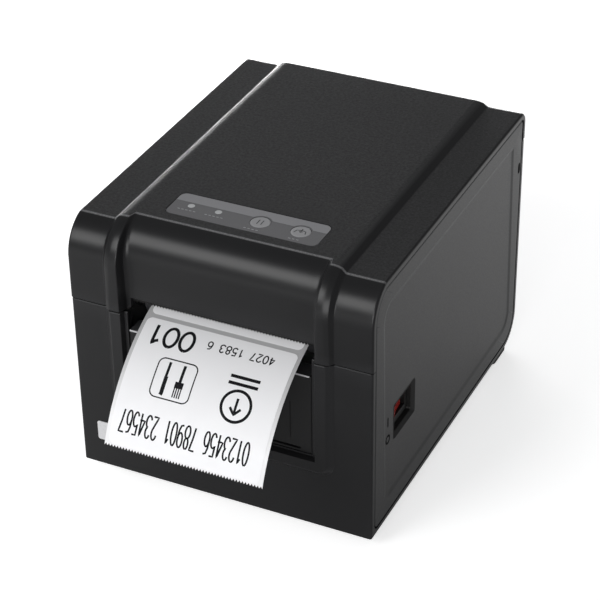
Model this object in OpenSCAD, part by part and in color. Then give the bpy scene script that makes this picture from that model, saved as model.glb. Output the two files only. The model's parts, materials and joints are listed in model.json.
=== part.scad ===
// Desktop direct-thermal label printer: clamshell case, platen drive, sprung print head, label roll.
// Millimetres. +Z is up, the label comes out towards -Y, +X is on the right of a person facing it.
// Origin: centre of the case's footprint, on the base's flat underside; the feet stand below it.

/* [Case] */
// Width of the case
body_w = 154; // [150:1:162]
// Depth of the case, front wing to rear wall
body_d = 190; // [186:1:196]
// Height of the case above its feet, to the flat wings of the top
body_h = 134.5; // [132:0.5:140]
// Wall thickness of the cover and the base
wall = 3; // [2.6:0.1:3.4]
// Height of the rubber feet below the case
foot_h = 5; // [3:0.5:6]
// How far the raised centre of the top, and the front ribs, stand proud of the wings
raise_h = 2.75; // [2:0.25:3]
// How far the front face between the ribs is set back from the wings
face_setback = 4; // [3:0.5:5]
// Height of the cover's front edge above the case's underside
seam_front_h = 94.3; // [93:0.1:96]
// Height of the cover's rear edge above the case's underside
seam_rear_h = 119.3; // [118:0.1:121]

/* [Label] */
// Width of the label liner
media_w = 80; // [60:1:82]
// Outer diameter of the label roll
roll_d = 96; // [60:1:98]
// Radius of the curl that the fed-out label hangs in
curl_r = 80; // [70:1:90]
// Angle through which the fed-out label curls
curl_sweep = 50; // [30:1:52]

/* [Print mechanism] */
// Radius of the rubber platen roller
platen_r = 8; // [7.9:0.1:8.1]
// Slope of the paper where it leaves the platen
exit_slope = 18; // [18:1:19]
// Outward travel of each media guide
guide_travel = 8; // [4:1:8]

/* [Buttons and switch] */
// Radius of the pause and feed buttons
button_r = 4.8; // [4:0.1:5]
// Travel of the pause and feed buttons
button_travel = 0.5; // [0.3:0.1:0.6]
// Width (front to back) of the power switch recess
recess_w = 25.6; // [24:0.2:28]
// Height of the power switch recess
recess_h = 19.6; // [18:0.2:22]

/* [Hidden] */

fine = 64;           // segments on round parts
eps = 0.01;          // overlap that keeps unions and cuts clean
gap = 0.6;           // seam between neighbouring case parts
rear_gap = 1;        // seam at the rear, which the cover's edge swings past
slip = 0.05;         // radial running clearance of a pin in its hole

// --- case ---
base_inset = 0.2;                   // the base stands back from the cover by this much
z0 = -base_inset;                   // bottom of the cover's outline; the base's underside is at 0
zt = z0 + body_h;                   // flat wings of the top
yf = -body_d / 2;                   // front face of the wings
yb = body_d / 2;                    // rear face
xw = body_w / 2;
front_r = 19;                       // radius of the curve from front to top
crease_drop = 18.2;                 // its centre below the top, so it meets the top in a crease
corner_r = 1;                       // the other corners of the side outline: front bottom,
inner_r = 4;                        // the same inside the wall,
rear_r = 6;                         // rear top
heel_r = 17;                        // and rear bottom
seam_front = z0 + seam_front_h;
seam_rear = z0 + seam_rear_h;
band_base = 58;                     // half width of the raised centre at its foot
band_crest = 52.7;                  // and at its crest
face_half = 47;                     // half width of the set-back face between the ribs
lip_z = z0 + 84;                    // top of the lip under the exit
insert_z = z0 + 40.5;               // bottom of the front insert
frame_z = z0 + 30.5;                // bottom of the raised frame on the base's front
frame_r = 7.5;                      // and the radius of its lower corners
panel_t = wall;                     // side panels
deck_z = wall + 0.1;                // the media guides slide at this height, just above the floor

post_x = 62;                        // screw posts in the corners of the base
post_y = 45;
screw_r = 1.4;
foot_front = [62, -body_d / 2 + 27];          // rubber feet: the front pair,
foot_rear = [xw - 8.8, body_d / 2 - 17];      // and the rear pair, under the heel
foot_size = [14, 20];
foot_seat = 1;                      // how deep they are let into the shell
post_h = 9;                         // height of the screw posts above the floor
field_front = yf + 14;              // shallow field in each side panel
field_rear = yb - 12;
field_z = z0 + 14;
field_h = 107;
groove = 1;                         // width of the field's edge
panel_inset = 0.8;                  // and its depth
badge = [[-67.8, z0 + 15.4], [-36, z0 + 26]];
insert_slot = 36;                   // half width of the recess in the front insert

// --- sockets at the rear, on the control board ---
socket_x = 62;
jack_z = z0 + 24;
usb_z = z0 + 44;
serial_z = z0 + 72;
socket_y = yb - base_inset - 0.4;   // mouths of the sockets
board_x = 68.5;

// --- rear hinge ---
hinge_y = yb - 5;
hinge_z = z0 + 104.6;
hinge_x = 52;                       // centre of each hinge knuckle
knuckle_w = 22;
knuckle_r = 5;
hinge_pin_r = 2;

// --- print mechanism ---
platen_y = yf + 19.9;
platen_z = z0 + 92.9;
platen_half = 44;                   // half length of the rubber
shaft_r = 3;
plate_t = 1.5;                      // chassis side plates
plate_x = 51;                       // inner face of each chassis plate
foot_w = 5;                         // width of each plate's foot flange
paper_t = 0.15;
label_t = 0.12;
label_lift = 0.02;                  // adhesive between the liner and its labels
web_gap = 0.1;                      // paper to neighbouring solids
media_x = 3;                        // the label path is offset from the centre of the case
tear_y = yf + 6;                    // where the paper passes under the tear bar
liner_edge = 1.8;                   // bare liner at each side of the labels
next_end = 3;                       // the next label ends this far round the curl, in degrees
label_start = 4.6;                  // the printed label starts here on the curl
label_tail = 1.2;                   // and ends this far before the liner does
gear_m = 0.8;                       // gear module
gear_w = 3.4;
pinion_n = 16;
idler_big_n = 40;
idler_small_n = 18;
platen_n = 30;
gear_play = 0.22;                   // backlash on the pitch circle
inner_layer_x = -plate_x - plate_t - 0.6;      // right face of the platen gear's layer
outer_layer_x = inner_layer_x - gear_w - 0.6;  // right face of the motor pinion's layer
platen_to_idler = gear_m * (platen_n + idler_small_n) / 2;
idler_to_pinion = gear_m * (pinion_n + idler_big_n) / 2;
idler_dir = -70;                    // direction from the platen to the idler, in the Y-Z plane
pinion_dir = -84;                   // direction from the idler to the motor pinion
idler_y = platen_y + platen_to_idler * cos(idler_dir);
idler_z = platen_z + platen_to_idler * sin(idler_dir);
pinion_y = idler_y + idler_to_pinion * cos(pinion_dir);
pinion_z = idler_z + idler_to_pinion * sin(pinion_dir);
axle_r = 2;
motor_r = 17.5;
motor_l = 22;
motor_lug = 21;                     // motor screws from the motor's axis

// --- label roll and guides ---
roll_y = yf + 116;
roll_z = z0 + 59.5;
roll_r = roll_d / 2;
core_r = 14;
core_bore = 12.7;
hub_r = 12.2;
guide_t = 3;
guide_gap = 0.4;                    // guide to the side of the roll
rack_m = 1;
rack_n = 14;
rack_r = rack_m * rack_n / 2;
rack_t = 3;
rack_bar = 5;                       // width of the rack's bar behind its teeth

// --- head and latch, in the cover ---
head_lift = paper_t + label_lift + label_t + 2 * web_gap;           // head above the platen, with the label between
head_half = 43;
pivot_y = platen_y + 22;
pivot_z = platen_z + 16;
pin_r = 2;                          // head pivot pin and latch pin
spring_x = 25;
spring_y = platen_y + 10;
mount_z = platen_z + 28.5;          // underside of the head mount
mount_half = 50.3;
latch_y = platen_y + 2;
latch_z = platen_z + 26;
latch_free = 14;                    // the hooks are drawn swung back by this angle, off the platen shaft
hook_x = 45;                        // inner face of each hook
hook_t = 3;

// --- controls on the top ---
panel_y = yf + 33.5;                // middle of the control overlay
panel_l = 77;
panel_w = 19.6;
overlay_t = 0.5;
lens_r = 1.2;
lens_x = [-29, -15];
lens_y = yf + 33.4;
button_x = [6.4, 26.7];
button_y = yf + 33.2;
top_z = zt + raise_h;
board_z = top_z - 9.3;              // top of the button board
board_post_x = 36;                  // posts that it hangs from
face_z = z0 + 98.6;                 // lower edge of the face between the ribs
tear_t = 1;
tear_pitch = 1.5;
recess_y = yf + 38.3;               // middle of the power switch recess
recess_z = z0 + 50.8;
recess_depth = 6;
pivot_depth = 3;                    // the rocker's axis, below the recess's floor

// Points of an arc about c, from angle a0 to a1
function arc(c, r, a0, a1, n) =
    [for (k = [0:n]) let (a = a0 + (a1 - a0) * k / n) [c[0] + r * cos(a), c[1] + r * sin(a)]];

// Side outline of the case (y, z), drawn in by i all round; a negative i draws it out
function case_outline(i) =
    let (crease = asin((crease_drop - i) / (front_r - i)), toe = i < 1 ? corner_r : i + inner_r)
    concat(
        arc([yf + toe, z0 + toe], toe - i, 270, 180, 8),
        arc([yf + front_r, zt - crease_drop], front_r - i, 180, 180 - crease, 16),
        arc([yb - rear_r, zt - rear_r], rear_r - i, 90, 0, 10),
        arc([yb - heel_r, z0 + heel_r], heel_r - i, 0, -90, 12));

// Extrudes a (y, z) outline along X
module along_x(x0, x1) {
    translate([x0, 0, 0])
        rotate([90, 0, 90])
            linear_extrude(x1 - x0) children();
}

// Wall of the case: the outline, hollowed by t
module case_ring(inset, t) {
    difference() {
        polygon(case_outline(inset));
        polygon(case_outline(inset + t));
    }
}

// Everything above the seams between cover and base, which start lower by g_front and g_rear
module above_seams(g_front = 0, g_rear = 0) {
    translate([yf - 20, seam_front - g_front]) square([body_d / 2 + 20, body_h]);
    translate([-eps, seam_rear - g_rear]) square([body_d / 2 + 20, body_h]);
}

module rounded_rect(w, h, r) {
    for (x = [-1, 1], y = [-1, 1])
        translate([x * (w / 2 - r), y * (h / 2 - r)]) circle(r, $fn = fine);
    square([w - 2 * r, h], center = true);
    square([w, h - 2 * r], center = true);
}

// Cylinder along X between x0 and x1 at (y, z)
module rod_x(x0, x1, y, z, r) {
    translate([x0, y, z])
        rotate([0, 90, 0]) cylinder(h = x1 - x0, r = r, $fn = fine);
}

// Block by its two corners
module block(a, b) {
    translate(a) cube(b - a);
}

// --- gears ---
function inv(a) = tan(a) * 180 / PI - a;

// Half of a tooth's angle at radius r, on a gear of n teeth and module m
function tooth_half(n, m, r, play) =
    let (pitch_r = m * n / 2, base_r = pitch_r * cos(20),
         here = acos(min(1, base_r / r)))
    90 / n - play / 2 / pitch_r * 180 / PI + inv(20) - inv(here);

module gear_profile(n, m, play, turn) {
    pitch_r = m * n / 2;
    radii = [pitch_r - 1.2 * m, pitch_r - 0.5 * m, pitch_r, pitch_r + 0.5 * m, pitch_r + 0.9 * m];
    polygon([for (t = [0:n - 1], s = [-1, 1], k = [0:4])
        let (i = s < 0 ? k : 4 - k, r = radii[i],
             a = turn + 360 * t / n + s * tooth_half(n, m, r, play))
        [r * cos(a), r * sin(a)]]);
}

// Gear on an X axis; turn places its first tooth, counted from +Y towards +Z
module gear_x(n, x0, x1, y, z, bore, turn) {
    translate([0, y, z])
        along_x(x0, x1)
            difference() {
                gear_profile(n, gear_m, gear_play, turn);
                circle(bore, $fn = fine);
            }
}

// --- base ---
module at_posts() {
    for (x = [-post_x, post_x], y = [-post_y, post_y]) translate([x, y, 0]) children();
}

module at_feet() {
    for (side = [-1, 1], at = [foot_front, foot_rear]) translate([side * at[0], at[1], 0]) children();
}

module base_shell() {
    color([0.07, 0.07, 0.08]) difference() {
        union() {
            along_x(-xw + base_inset, xw - base_inset)
                difference() {
                    case_ring(base_inset, wall);
                    above_seams(gap, rear_gap);
                }
            base_front_frame();
            for (x = [-1, 1]) hinge_lugs(x * hinge_x);
            translate([media_x, roll_y, wall - eps])
                cylinder(h = rack_t + 2, r = 2.5, $fn = fine);
            at_posts() translate([0, 0, wall - eps]) cylinder(h = post_h, r = 4.5, $fn = fine);
        }
        // window between the ribs, filled below the exit by the insert
        block([-face_half, yf - 10, insert_z], [face_half, yf + wall + 2, seam_front + 10]);
        for (x = [-1, 1]) {
            hinge_notch(x * hinge_x);
            rod_x(x * hinge_x - 20, x * hinge_x + 20, hinge_y, hinge_z, hinge_pin_r);
        }
        at_posts() translate([0, 0, -1]) cylinder(h = post_h + 2, r = screw_r + slip, $fn = fine);
        rear_sockets();
        feet();
    }
}

// Raised, bevelled frame that carries the ribs down the base's front
module base_front_frame() {
    bevel = band_base - band_crest;
    hull() {
        frame_level(0, yf + base_inset, 1);
        frame_level(bevel, yf - raise_h, 0.1);
    }
}

// Outline of the frame, drawn in by i, from y for a depth of t
module frame_level(i, y, t) {
    r = frame_r - i;
    top = seam_front - gap;
    for (s = [-1, 1])
        translate([s * (band_base - frame_r), y, frame_z + frame_r])
            rotate([-90, 0, 0]) cylinder(h = t, r = r, $fn = 32);
    block([-band_base + i, y, top - 1], [band_base - i, y + t, top]);
}

// Rectangular lugs either side of a hinge notch, which hold the hinge pin
module hinge_lugs(x) {
    for (s = [-1, 1])
        translate([x + s * (knuckle_w / 2 + gap + 3), 0, 0]) {
            block([-3, hinge_y - knuckle_r, hinge_z - 14], [3, yb - base_inset - 1, hinge_z + knuckle_r]);
        }
}

module hinge_notch(x) {
    block([x - knuckle_w / 2 - gap, hinge_y - 10, hinge_z - knuckle_r - 1.2],
          [x + knuckle_w / 2 + gap, yb + 5, seam_rear + 5]);
}

// Openings in the rear wall for the three sockets: each is [height, width, height of the opening]
module rear_sockets() {
    for (mouth = [[jack_z, 13, 12], [usb_z, 13, 12], [serial_z, 11.5, 32]])
        translate([socket_x, yb + 1, mouth[0]])
            rotate([90, 0, 0]) linear_extrude(8) square([mouth[1], mouth[2]], center = true);
}

module feet() {
    difference() {
        at_feet() translate([0, 0, -foot_h]) linear_extrude(foot_h + 2 * wall)
            rounded_rect(foot_size[0], foot_size[1], 4);
        along_x(-xw, xw) polygon(case_outline(base_inset + foot_seat));
    }
}

module rubber_feet() {
    color([0.05, 0.05, 0.05]) feet();
}

module base_screws() {
    color("silver")
        at_posts() {
            translate([0, 0, -1.6]) cylinder(h = 1.6, r = 2.6, $fn = fine);
            translate([0, 0, -0.1]) cylinder(h = post_h, r = screw_r, $fn = fine);
        }
}

// Side panel, with a shallow field drawn in its outer face
module side_panel(s) {
    x_in = xw - base_inset - panel_t;
    field_l = field_rear - field_front;
    mirror([s < 0 ? 1 : 0, 0, 0]) difference() {
        along_x(x_in, xw - base_inset) polygon(case_outline(base_inset + wall + gap));
        along_x(xw - base_inset - panel_inset, xw)
            translate([(field_front + field_rear) / 2, field_z + field_h / 2])
                difference() {
                    rounded_rect(field_l, field_h, 8);
                    rounded_rect(field_l - 2 * groove, field_h - 2 * groove, 8 - groove);
                }
        // oval hole at the height of the hinge
        along_x(x_in - 1, xw + 1)
            translate([hinge_y - 1.5, hinge_z])
                hull() for (d = [-1, 1]) translate([0, 1.5 * d]) circle(1.5, $fn = 32);
    }
}

module left_side_panel() {
    color([0.1, 0.1, 0.11]) side_panel(-1);
}

// The right panel also has the well that the power switch stands in
module right_side_panel() {
    x_out = xw - base_inset;
    color([0.1, 0.1, 0.11]) difference() {
        union() {
            side_panel(1);
            block([x_out - recess_depth - 1.5, recess_y - recess_w / 2 - 1.5, recess_z - recess_h / 2 - 1.5],
                  [x_out - 1, recess_y + recess_w / 2 + 1.5, recess_z + recess_h / 2 + 1.5]);
        }
        block([x_out - recess_depth, recess_y - recess_w / 2, recess_z - recess_h / 2],
              [x_out + 1, recess_y + recess_w / 2, recess_z + recess_h / 2]);
        block([x_out - recess_depth - 5, recess_y - 9.5, recess_z - 6.5],
              [x_out - recess_depth + 1, recess_y + 9.5, recess_z + 6.5]);
    }
}

// Panel below the exit, in the window between the ribs
module front_insert() {
    color([0.08, 0.08, 0.09]) difference() {
        union() {
            block([-face_half + 0.2, yf - 0.5, insert_z + 0.3], [face_half - 0.2, yf + wall, lip_z]);
            block([-face_half + 0.2, yf + 0.5, lip_z - 3], [face_half - 0.2, yf + 9, lip_z - 0.8]);
        }
        block([-insert_slot, yf - 1, insert_z + 3], [insert_slot, yf + 0.4, lip_z - 6]);
    }
}

// Bent strip that guides the label over the lip
module exit_guide() {
    color([0.6, 0.6, 0.62]) block([-face_half + 1, yf - 0.5, lip_z + 0.02], [face_half - 1, yf + 9, lip_z + 0.8]);
}

// Blank badge on the left of the front
module badge_plate() {
    color([0.75, 0.75, 0.75])
        block([badge[0][0], yf + base_inset - 0.6, badge[0][1]], [badge[1][0], yf + base_inset, badge[1][1]]);
}

// --- drive ---
// Side plate of the chassis, from the floor up to the platen, with s the side it stands on
module chassis_plate(s) {
    x0 = s > 0 ? plate_x : -plate_x - plate_t;
    difference() {
        along_x(x0, x0 + plate_t) {
            translate([platen_y - 9, wall]) square([44, platen_z - wall]);
            translate([platen_y, platen_z]) circle(9, $fn = fine);
        }
        rod_x(x0 - 1, x0 + plate_t + 1, platen_y, platen_z, shaft_r + 2);
        if (s < 0) {
            rod_x(x0 - 1, x0 + plate_t + 1, idler_y, idler_z, axle_r);
            rod_x(x0 - 1, x0 + plate_t + 1, pinion_y, pinion_z, 5.5);
            for (d = [-1, 1])
                rod_x(x0 - 1, x0 + plate_t + 1, pinion_y + d * motor_lug, pinion_z, 1.5);
        }
    }
    // foot flange
    side = s > 0 ? [x0, x0 + foot_w] : [x0 + plate_t - foot_w, x0 + plate_t];
    block([side[0], platen_y - 9, wall], [side[1], platen_y + 35, wall + plate_t]);
}

module left_chassis_plate() {
    color([0.7, 0.71, 0.73]) chassis_plate(-1);
}

module right_chassis_plate() {
    color([0.7, 0.71, 0.73]) chassis_plate(1);
}

module platen_bushes() {
    color([0.9, 0.9, 0.85])
        for (s = [-1, 1])
            mirror([s < 0 ? 1 : 0, 0, 0]) difference() {
                union() {
                    rod_x(plate_x, plate_x + plate_t, platen_y, platen_z, shaft_r + 2);
                    rod_x(plate_x - 1.5, plate_x, platen_y, platen_z, shaft_r + 3.5);
                }
                rod_x(plate_x - 2, plate_x + plate_t + 1, platen_y, platen_z, shaft_r + slip);
            }
}

module platen_shaft() {
    color("silver") rod_x(inner_layer_x - gear_w, plate_x + 3, platen_y, platen_z, shaft_r);
}

module platen_roller() {
    color([0.15, 0.15, 0.16]) difference() {
        rod_x(-platen_half, platen_half, platen_y, platen_z, platen_r);
        rod_x(-plate_x, plate_x, platen_y, platen_z, shaft_r);
    }
}

module platen_gear() {
    color("ivory")
        gear_x(platen_n, inner_layer_x - gear_w, inner_layer_x, platen_y, platen_z, shaft_r, idler_dir);
}

// Compound gear: the small wheel turns the platen, the large wheel is turned by the motor
module idler_gear() {
    color("ivory") {
        gear_x(idler_small_n, outer_layer_x - eps, inner_layer_x, idler_y, idler_z, axle_r + slip,
               idler_dir + 180 + 180 / idler_small_n);
        gear_x(idler_big_n, outer_layer_x - gear_w, outer_layer_x, idler_y, idler_z, axle_r + slip, pinion_dir);
    }
}

module idler_axle() {
    color("silver") {
        rod_x(outer_layer_x - gear_w - 0.4, -plate_x - plate_t + eps, idler_y, idler_z, axle_r);
        rod_x(outer_layer_x - gear_w - 1.4, outer_layer_x - gear_w - 0.4, idler_y, idler_z, axle_r + 1.5);
        rod_x(-plate_x - plate_t, -plate_x, idler_y, idler_z, axle_r);
    }
}

module motor_pinion() {
    color("gold") {
        gear_x(pinion_n, outer_layer_x - gear_w, outer_layer_x, pinion_y, pinion_z, 1.5,
               pinion_dir + 180 + 180 / pinion_n);
        rod_x(outer_layer_x - gear_w, -plate_x + 0.1, pinion_y, pinion_z, 1.5);
    }
}

module stepper_motor() {
    color([0.55, 0.56, 0.58]) difference() {
        union() {
            rod_x(-plate_x, -plate_x + motor_l, pinion_y, pinion_z, motor_r);
            rod_x(-plate_x - plate_t, -plate_x + 1, pinion_y, pinion_z, 5.5);
            for (d = [-1, 1])
                block([-plate_x, pinion_y + d * 14 - 10, pinion_z - 4], [-plate_x + 1, pinion_y + d * 14 + 10, pinion_z + 4]);
        }
        rod_x(-plate_x - 5, -plate_x + 6, pinion_y, pinion_z, 2);
        for (d = [-1, 1])
            rod_x(-plate_x - 1, -plate_x + 2, pinion_y + d * motor_lug, pinion_z, 1.5);
    }
}

module motor_screws() {
    color("silver")
        for (d = [-1, 1]) {
            rod_x(-plate_x - plate_t, -plate_x + 1, pinion_y + d * motor_lug, pinion_z, 1.5);
            rod_x(-plate_x + 1, -plate_x + 2.6, pinion_y + d * motor_lug, pinion_z, 2.6);
        }
}

// --- electronics ---
module control_board() {
    color([0.05, 0.35, 0.2]) block([board_x, -20, z0 + 12], [board_x + 1.6, yb - 8, z0 + 88]);
}

// Socket on the board's rear edge: a block of size [x, y, z] with a square mouth of size [x, z]
module socket(z, size, mouth) {
    difference() {
        translate([socket_x - size[0] / 2, socket_y - size[1], z - size[2] / 2]) cube(size);
        block([socket_x - mouth[0] / 2, yb - 9, z - mouth[1] / 2],
              [socket_x + mouth[0] / 2, yb + 1, z + mouth[1] / 2]);
    }
}

module power_jack() {
    size = [12, 13, 11];
    color([0.05, 0.05, 0.05]) {
        difference() {
            translate([socket_x - size[0] / 2, socket_y - size[1], jack_z - size[2] / 2]) cube(size);
            translate([socket_x, yb + 1, jack_z]) rotate([90, 0, 0]) cylinder(h = 11, r = 3.2, $fn = fine);
        }
        translate([socket_x, yb - 1.5, jack_z]) rotate([90, 0, 0]) cylinder(h = 10, r = 1, $fn = fine);
    }
}

module usb_port() {
    color([0.75, 0.76, 0.78]) socket(usb_z, [12, 15, 11], [8.5, 7.8]);
}

module serial_port() {
    color([0.75, 0.76, 0.78]) socket(serial_z, [10.5, 12, 31], [7.5, 17]);
}

// --- power switch, in the well of the right panel ---
module switch_housing() {
    x_floor = xw - base_inset - recess_depth;
    color([0.04, 0.04, 0.04]) difference() {
        union() {
            block([x_floor - 12, recess_y - 9.4, recess_z - 6.4], [x_floor + 0.1, recess_y + 9.4, recess_z + 6.4]);
            block([x_floor + 0.02, recess_y - 10.5, recess_z - 7.5], [x_floor + 2, recess_y + 10.5, recess_z + 7.5]);
        }
        block([x_floor - 8, recess_y - 8.6, recess_z - 3.8], [x_floor + 3, recess_y + 8.6, recess_z + 3.8]);
    }
}

// Rocker drawn in the ON position: its rear end stands up
module power_rocker() {
    x_pivot = xw - base_inset - recess_depth - pivot_depth;
    half_w = 3.5;
    end_y = 6.6;
    front_x = 5.9;
    middle_x = 4.2;
    rear_x = 3.6;
    pivot_r = 2.6;
    color([0.75, 0.12, 0.08])
        translate([x_pivot, recess_y, recess_z - half_w])
            linear_extrude(2 * half_w) {
                polygon([[-2, -4], [front_x, -end_y], [middle_x, 0], [rear_x, end_y], [-2, 4]]);
                circle(pivot_r, $fn = fine);
            }
}

// Cross-member between the chassis plates, which carries the gap sensor under the label
module paper_guide() {
    color([0.7, 0.71, 0.73])
        block([-plate_x - plate_t, platen_y + 17, platen_z + eps], [plate_x + plate_t, platen_y + 35, platen_z + 1.5]);
}

module gap_sensor() {
    color([0.12, 0.12, 0.13])
        block([media_x - 8, platen_y + 20, platen_z + 1.5], [media_x + 8, platen_y + 28, platen_z + 7.5]);
}

module hinge_pins() {
    color("silver")
        for (s = [-1, 1])
            rod_x(s * hinge_x - knuckle_w / 2 - gap - 6, s * hinge_x + knuckle_w / 2 + gap + 6, hinge_y, hinge_z,
                  hinge_pin_r);
}

// --- label ---
// Outer tangent from the roll to the platen: the angle of its normal, from +Y towards +Z
web_d = [roll_y - platen_y, roll_z - platen_z];
web_normal = atan2(web_d[1], web_d[0]) + acos((platen_r - roll_r) / norm(web_d));
exit_normal = 90 + exit_slope;
// Where the liner's lower face passes the tear bar, and the centre of its curl from there
tear_run = (platen_y + (platen_r + web_gap) * cos(exit_normal) - tear_y) / cos(exit_slope);
tear_at = [platen_y, platen_z] + (platen_r + web_gap) * [cos(exit_normal), sin(exit_normal)]
    - tear_run * [cos(exit_slope), sin(exit_slope)];
curl_c = tear_at - curl_r * [cos(exit_normal), sin(exit_normal)];

// Line along the label path, h above the liner's lower face
function platen_wrap(h, a0) = arc([platen_y, platen_z], platen_r + web_gap + h, a0, exit_normal, 6);
function tongue(h, a0, a1) = arc(curl_c, curl_r + h, exit_normal + a0, exit_normal + a1, 24);
function reversed(v) = [for (k = [len(v) - 1:-1:0]) v[k]];

// Liner: off the roll's top, over the platen, out under the tear bar and down in a curl
module label_web() {
    function line(h) = concat(arc([roll_y, roll_z], roll_r + web_gap + h, web_normal, web_normal, 1),
        platen_wrap(h, web_normal), tongue(h, 0, curl_sweep));
    color([0.8, 0.82, 0.84])
        along_x(media_x - media_w / 2, media_x + media_w / 2)
            polygon(concat(line(0), reversed(line(paper_t))));
}

// The printed label on the curl
module printed_label() {
    function line(h) = tongue(h, label_start, curl_sweep - label_tail);
    color("white")
        along_x(media_x - media_w / 2 + liner_edge, media_x + media_w / 2 - liner_edge)
            polygon(concat(line(paper_t + label_lift), reversed(line(paper_t + label_lift + label_t))));
}

// The label after it, which still reaches back under the tear bar to the print line
module next_label() {
    function line(h) = concat(platen_wrap(h, exit_normal - 2), tongue(h, 0, next_end));
    color("white")
        along_x(media_x - media_w / 2 + liner_edge, media_x + media_w / 2 - liner_edge)
            polygon(concat(line(paper_t + label_lift), reversed(line(paper_t + label_lift + label_t))));
}

module label_roll() {
    color([0.93, 0.93, 0.92]) difference() {
        rod_x(media_x - media_w / 2, media_x + media_w / 2, roll_y, roll_z, roll_r);
        rod_x(media_x - media_w, media_x + media_w, roll_y, roll_z, core_r);
    }
}

module roll_core() {
    color([0.6, 0.5, 0.38]) difference() {
        rod_x(media_x - media_w / 2, media_x + media_w / 2, roll_y, roll_z, core_r);
        rod_x(media_x - media_w, media_x + media_w, roll_y, roll_z, core_bore);
    }
}

// --- media guides ---
// Rack along X, centred on the guide pinion; s is the side of the pinion it lies on
module rack(s, x0, x1) {
    half = PI * rack_m / 4 - gear_play / 2;
    pitch = PI * rack_m;
    teeth = floor((x1 - x0) / pitch) - 1;
    translate([0, roll_y, deck_z])
        linear_extrude(rack_t) {
            translate([x0, s > 0 ? rack_r + 1.2 : -rack_r - 1.2 - rack_bar]) square([x1 - x0, rack_bar]);
            for (k = [0:teeth - 1]) {
                x = media_x + pitch * (ceil((x0 + 1 - media_x) / pitch) + k + 0.5);
                polygon([[x - half - 0.44, s * (rack_r + 1.2 + eps)], [x - half + 0.33, s * (rack_r - 0.9)],
                         [x + half - 0.33, s * (rack_r - 0.9)], [x + half + 0.44, s * (rack_r + 1.2 + eps)]]);
            }
        }
}

// Guide on side s: a round cheek on a stem, a hub in the roll's core, and a rack under the roll
module media_guide(s) {
    x_in = media_x + s * (media_w / 2 + guide_gap);
    x_out = x_in + s * guide_t;
    reach = media_x - s * (guide_travel + 9);
    x0 = min(x_in, x_out);
    difference() {
        union() {
            along_x(x0, x0 + guide_t) {
                translate([roll_y, roll_z]) circle(28, $fn = fine);
                translate([roll_y - 14, deck_z]) square([28, roll_z - deck_z]);
            }
            rod_x(min(x_in - s * 12, x_in), max(x_in - s * 12, x_in), roll_y, roll_z, hub_r);
            rack(s, min(reach, x_out), max(reach, x_out));
        }
        rod_x(x_in - 20, x_in + 20, roll_y, roll_z, hub_r - 2.5);
    }
}

module left_media_guide() {
    color([0.12, 0.12, 0.13]) media_guide(-1);
}

module right_media_guide() {
    color([0.12, 0.12, 0.13]) media_guide(1);
}

module guide_pinion() {
    color("ivory")
        translate([media_x, roll_y, deck_z])
            linear_extrude(rack_t)
                difference() {
                    gear_profile(rack_n, rack_m, gear_play, 90);
                    circle(2.5 + slip, $fn = fine);
                }
}

// --- cover ---
// Raised centre: flat on the top, round the front curve and down to the seam, with bevelled sides
module raised_band() {
    root = 1;    // depth that it runs into the wall
    difference() {
        intersection() {
            hull() {
                along_x(-band_base, band_base) polygon(case_outline(0));
                along_x(-band_crest, band_crest) polygon(case_outline(-raise_h));
            }
            block([-xw, yf - 10, seam_front], [xw, yb - 6, top_z + 10]);
        }
        along_x(-xw, xw) polygon(case_outline(root));
    }
}

// Outline of the face between the ribs: the case's outline, moved back and up
module face_outline(i) {
    translate([face_setback, raise_h]) polygon(case_outline(i));
}

// Front part of the cover, above the level z
module front_zone(z) {
    translate([yf - 10, z]) square([35, top_z - z + 10]);
}

// Wall between the ribs, with the sides that join it to them
module front_face() {
    along_x(-face_half - wall, face_half + wall)
        intersection() {
            difference() {
                face_outline(0);
                face_outline(wall);
            }
            front_zone(face_z);
        }
    for (s = [-1, 1])
        along_x(s > 0 ? face_half : -face_half - wall, s > 0 ? face_half + wall : -face_half)
            intersection() {
                difference() {
                    polygon(case_outline(eps));
                    face_outline(wall);
                }
                front_zone(seam_front);
            }
}

module hinge_knuckle(x) {
    rod_x(x - knuckle_w / 2, x + knuckle_w / 2, hinge_y, hinge_z, knuckle_r);
    block([x - knuckle_w / 2, yb - wall, hinge_z], [x + knuckle_w / 2, yb, seam_rear + 1]);
}

// Posts that the button board hangs from
module board_posts() {
    for (s = [-1, 1])
        translate([s * board_post_x, button_y, board_z]) cylinder(h = top_z - wall - board_z + 1, r = 2.5, $fn = fine);
}

// Holes for the lenses and the buttons
module control_holes() {
    depth = 2 * wall;
    for (x = lens_x)
        translate([x, lens_y, top_z - depth]) cylinder(h = depth + 1, r = lens_r + slip, $fn = fine);
    for (x = button_x)
        translate([x, button_y, top_z - depth]) cylinder(h = depth + 1, r = button_r + 0.2, $fn = fine);
}

module cover_shell() {
    color([0.07, 0.07, 0.08]) difference() {
        union() {
            along_x(-xw, xw)
                intersection() {
                    case_ring(0, wall);
                    above_seams();
                }
            raised_band();
            front_face();
            for (s = [-1, 1]) hinge_knuckle(s * hinge_x);
            board_posts();
        }
        // clears the space in front of the set-back face
        along_x(-face_half, face_half)
            difference() {
                front_zone(seam_front - 1);
                face_outline(0);
            }
        // hollows the underside of the raised centre
        difference() {
            block([-mount_half - 0.5, yf + 25, zt - wall - 1], [mount_half + 0.5, yb - 14, top_z - wall]);
            board_posts();
        }
        tear_slot();
        overlay_plate(2);
        control_holes();
        for (s = [-1, 1])
            rod_x(s * hinge_x - knuckle_w, s * hinge_x + knuckle_w, hinge_y, hinge_z, hinge_pin_r + slip);
    }
}

// Control overlay's outline, t thick and flush with the raised top
module overlay_plate(t) {
    translate([0, panel_y, top_z - overlay_t]) linear_extrude(t) rounded_rect(panel_l, panel_w, 3.5);
}

module control_overlay() {
    color([0.22, 0.22, 0.23]) difference() {
        overlay_plate(overlay_t);
        control_holes();
    }
}

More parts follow.
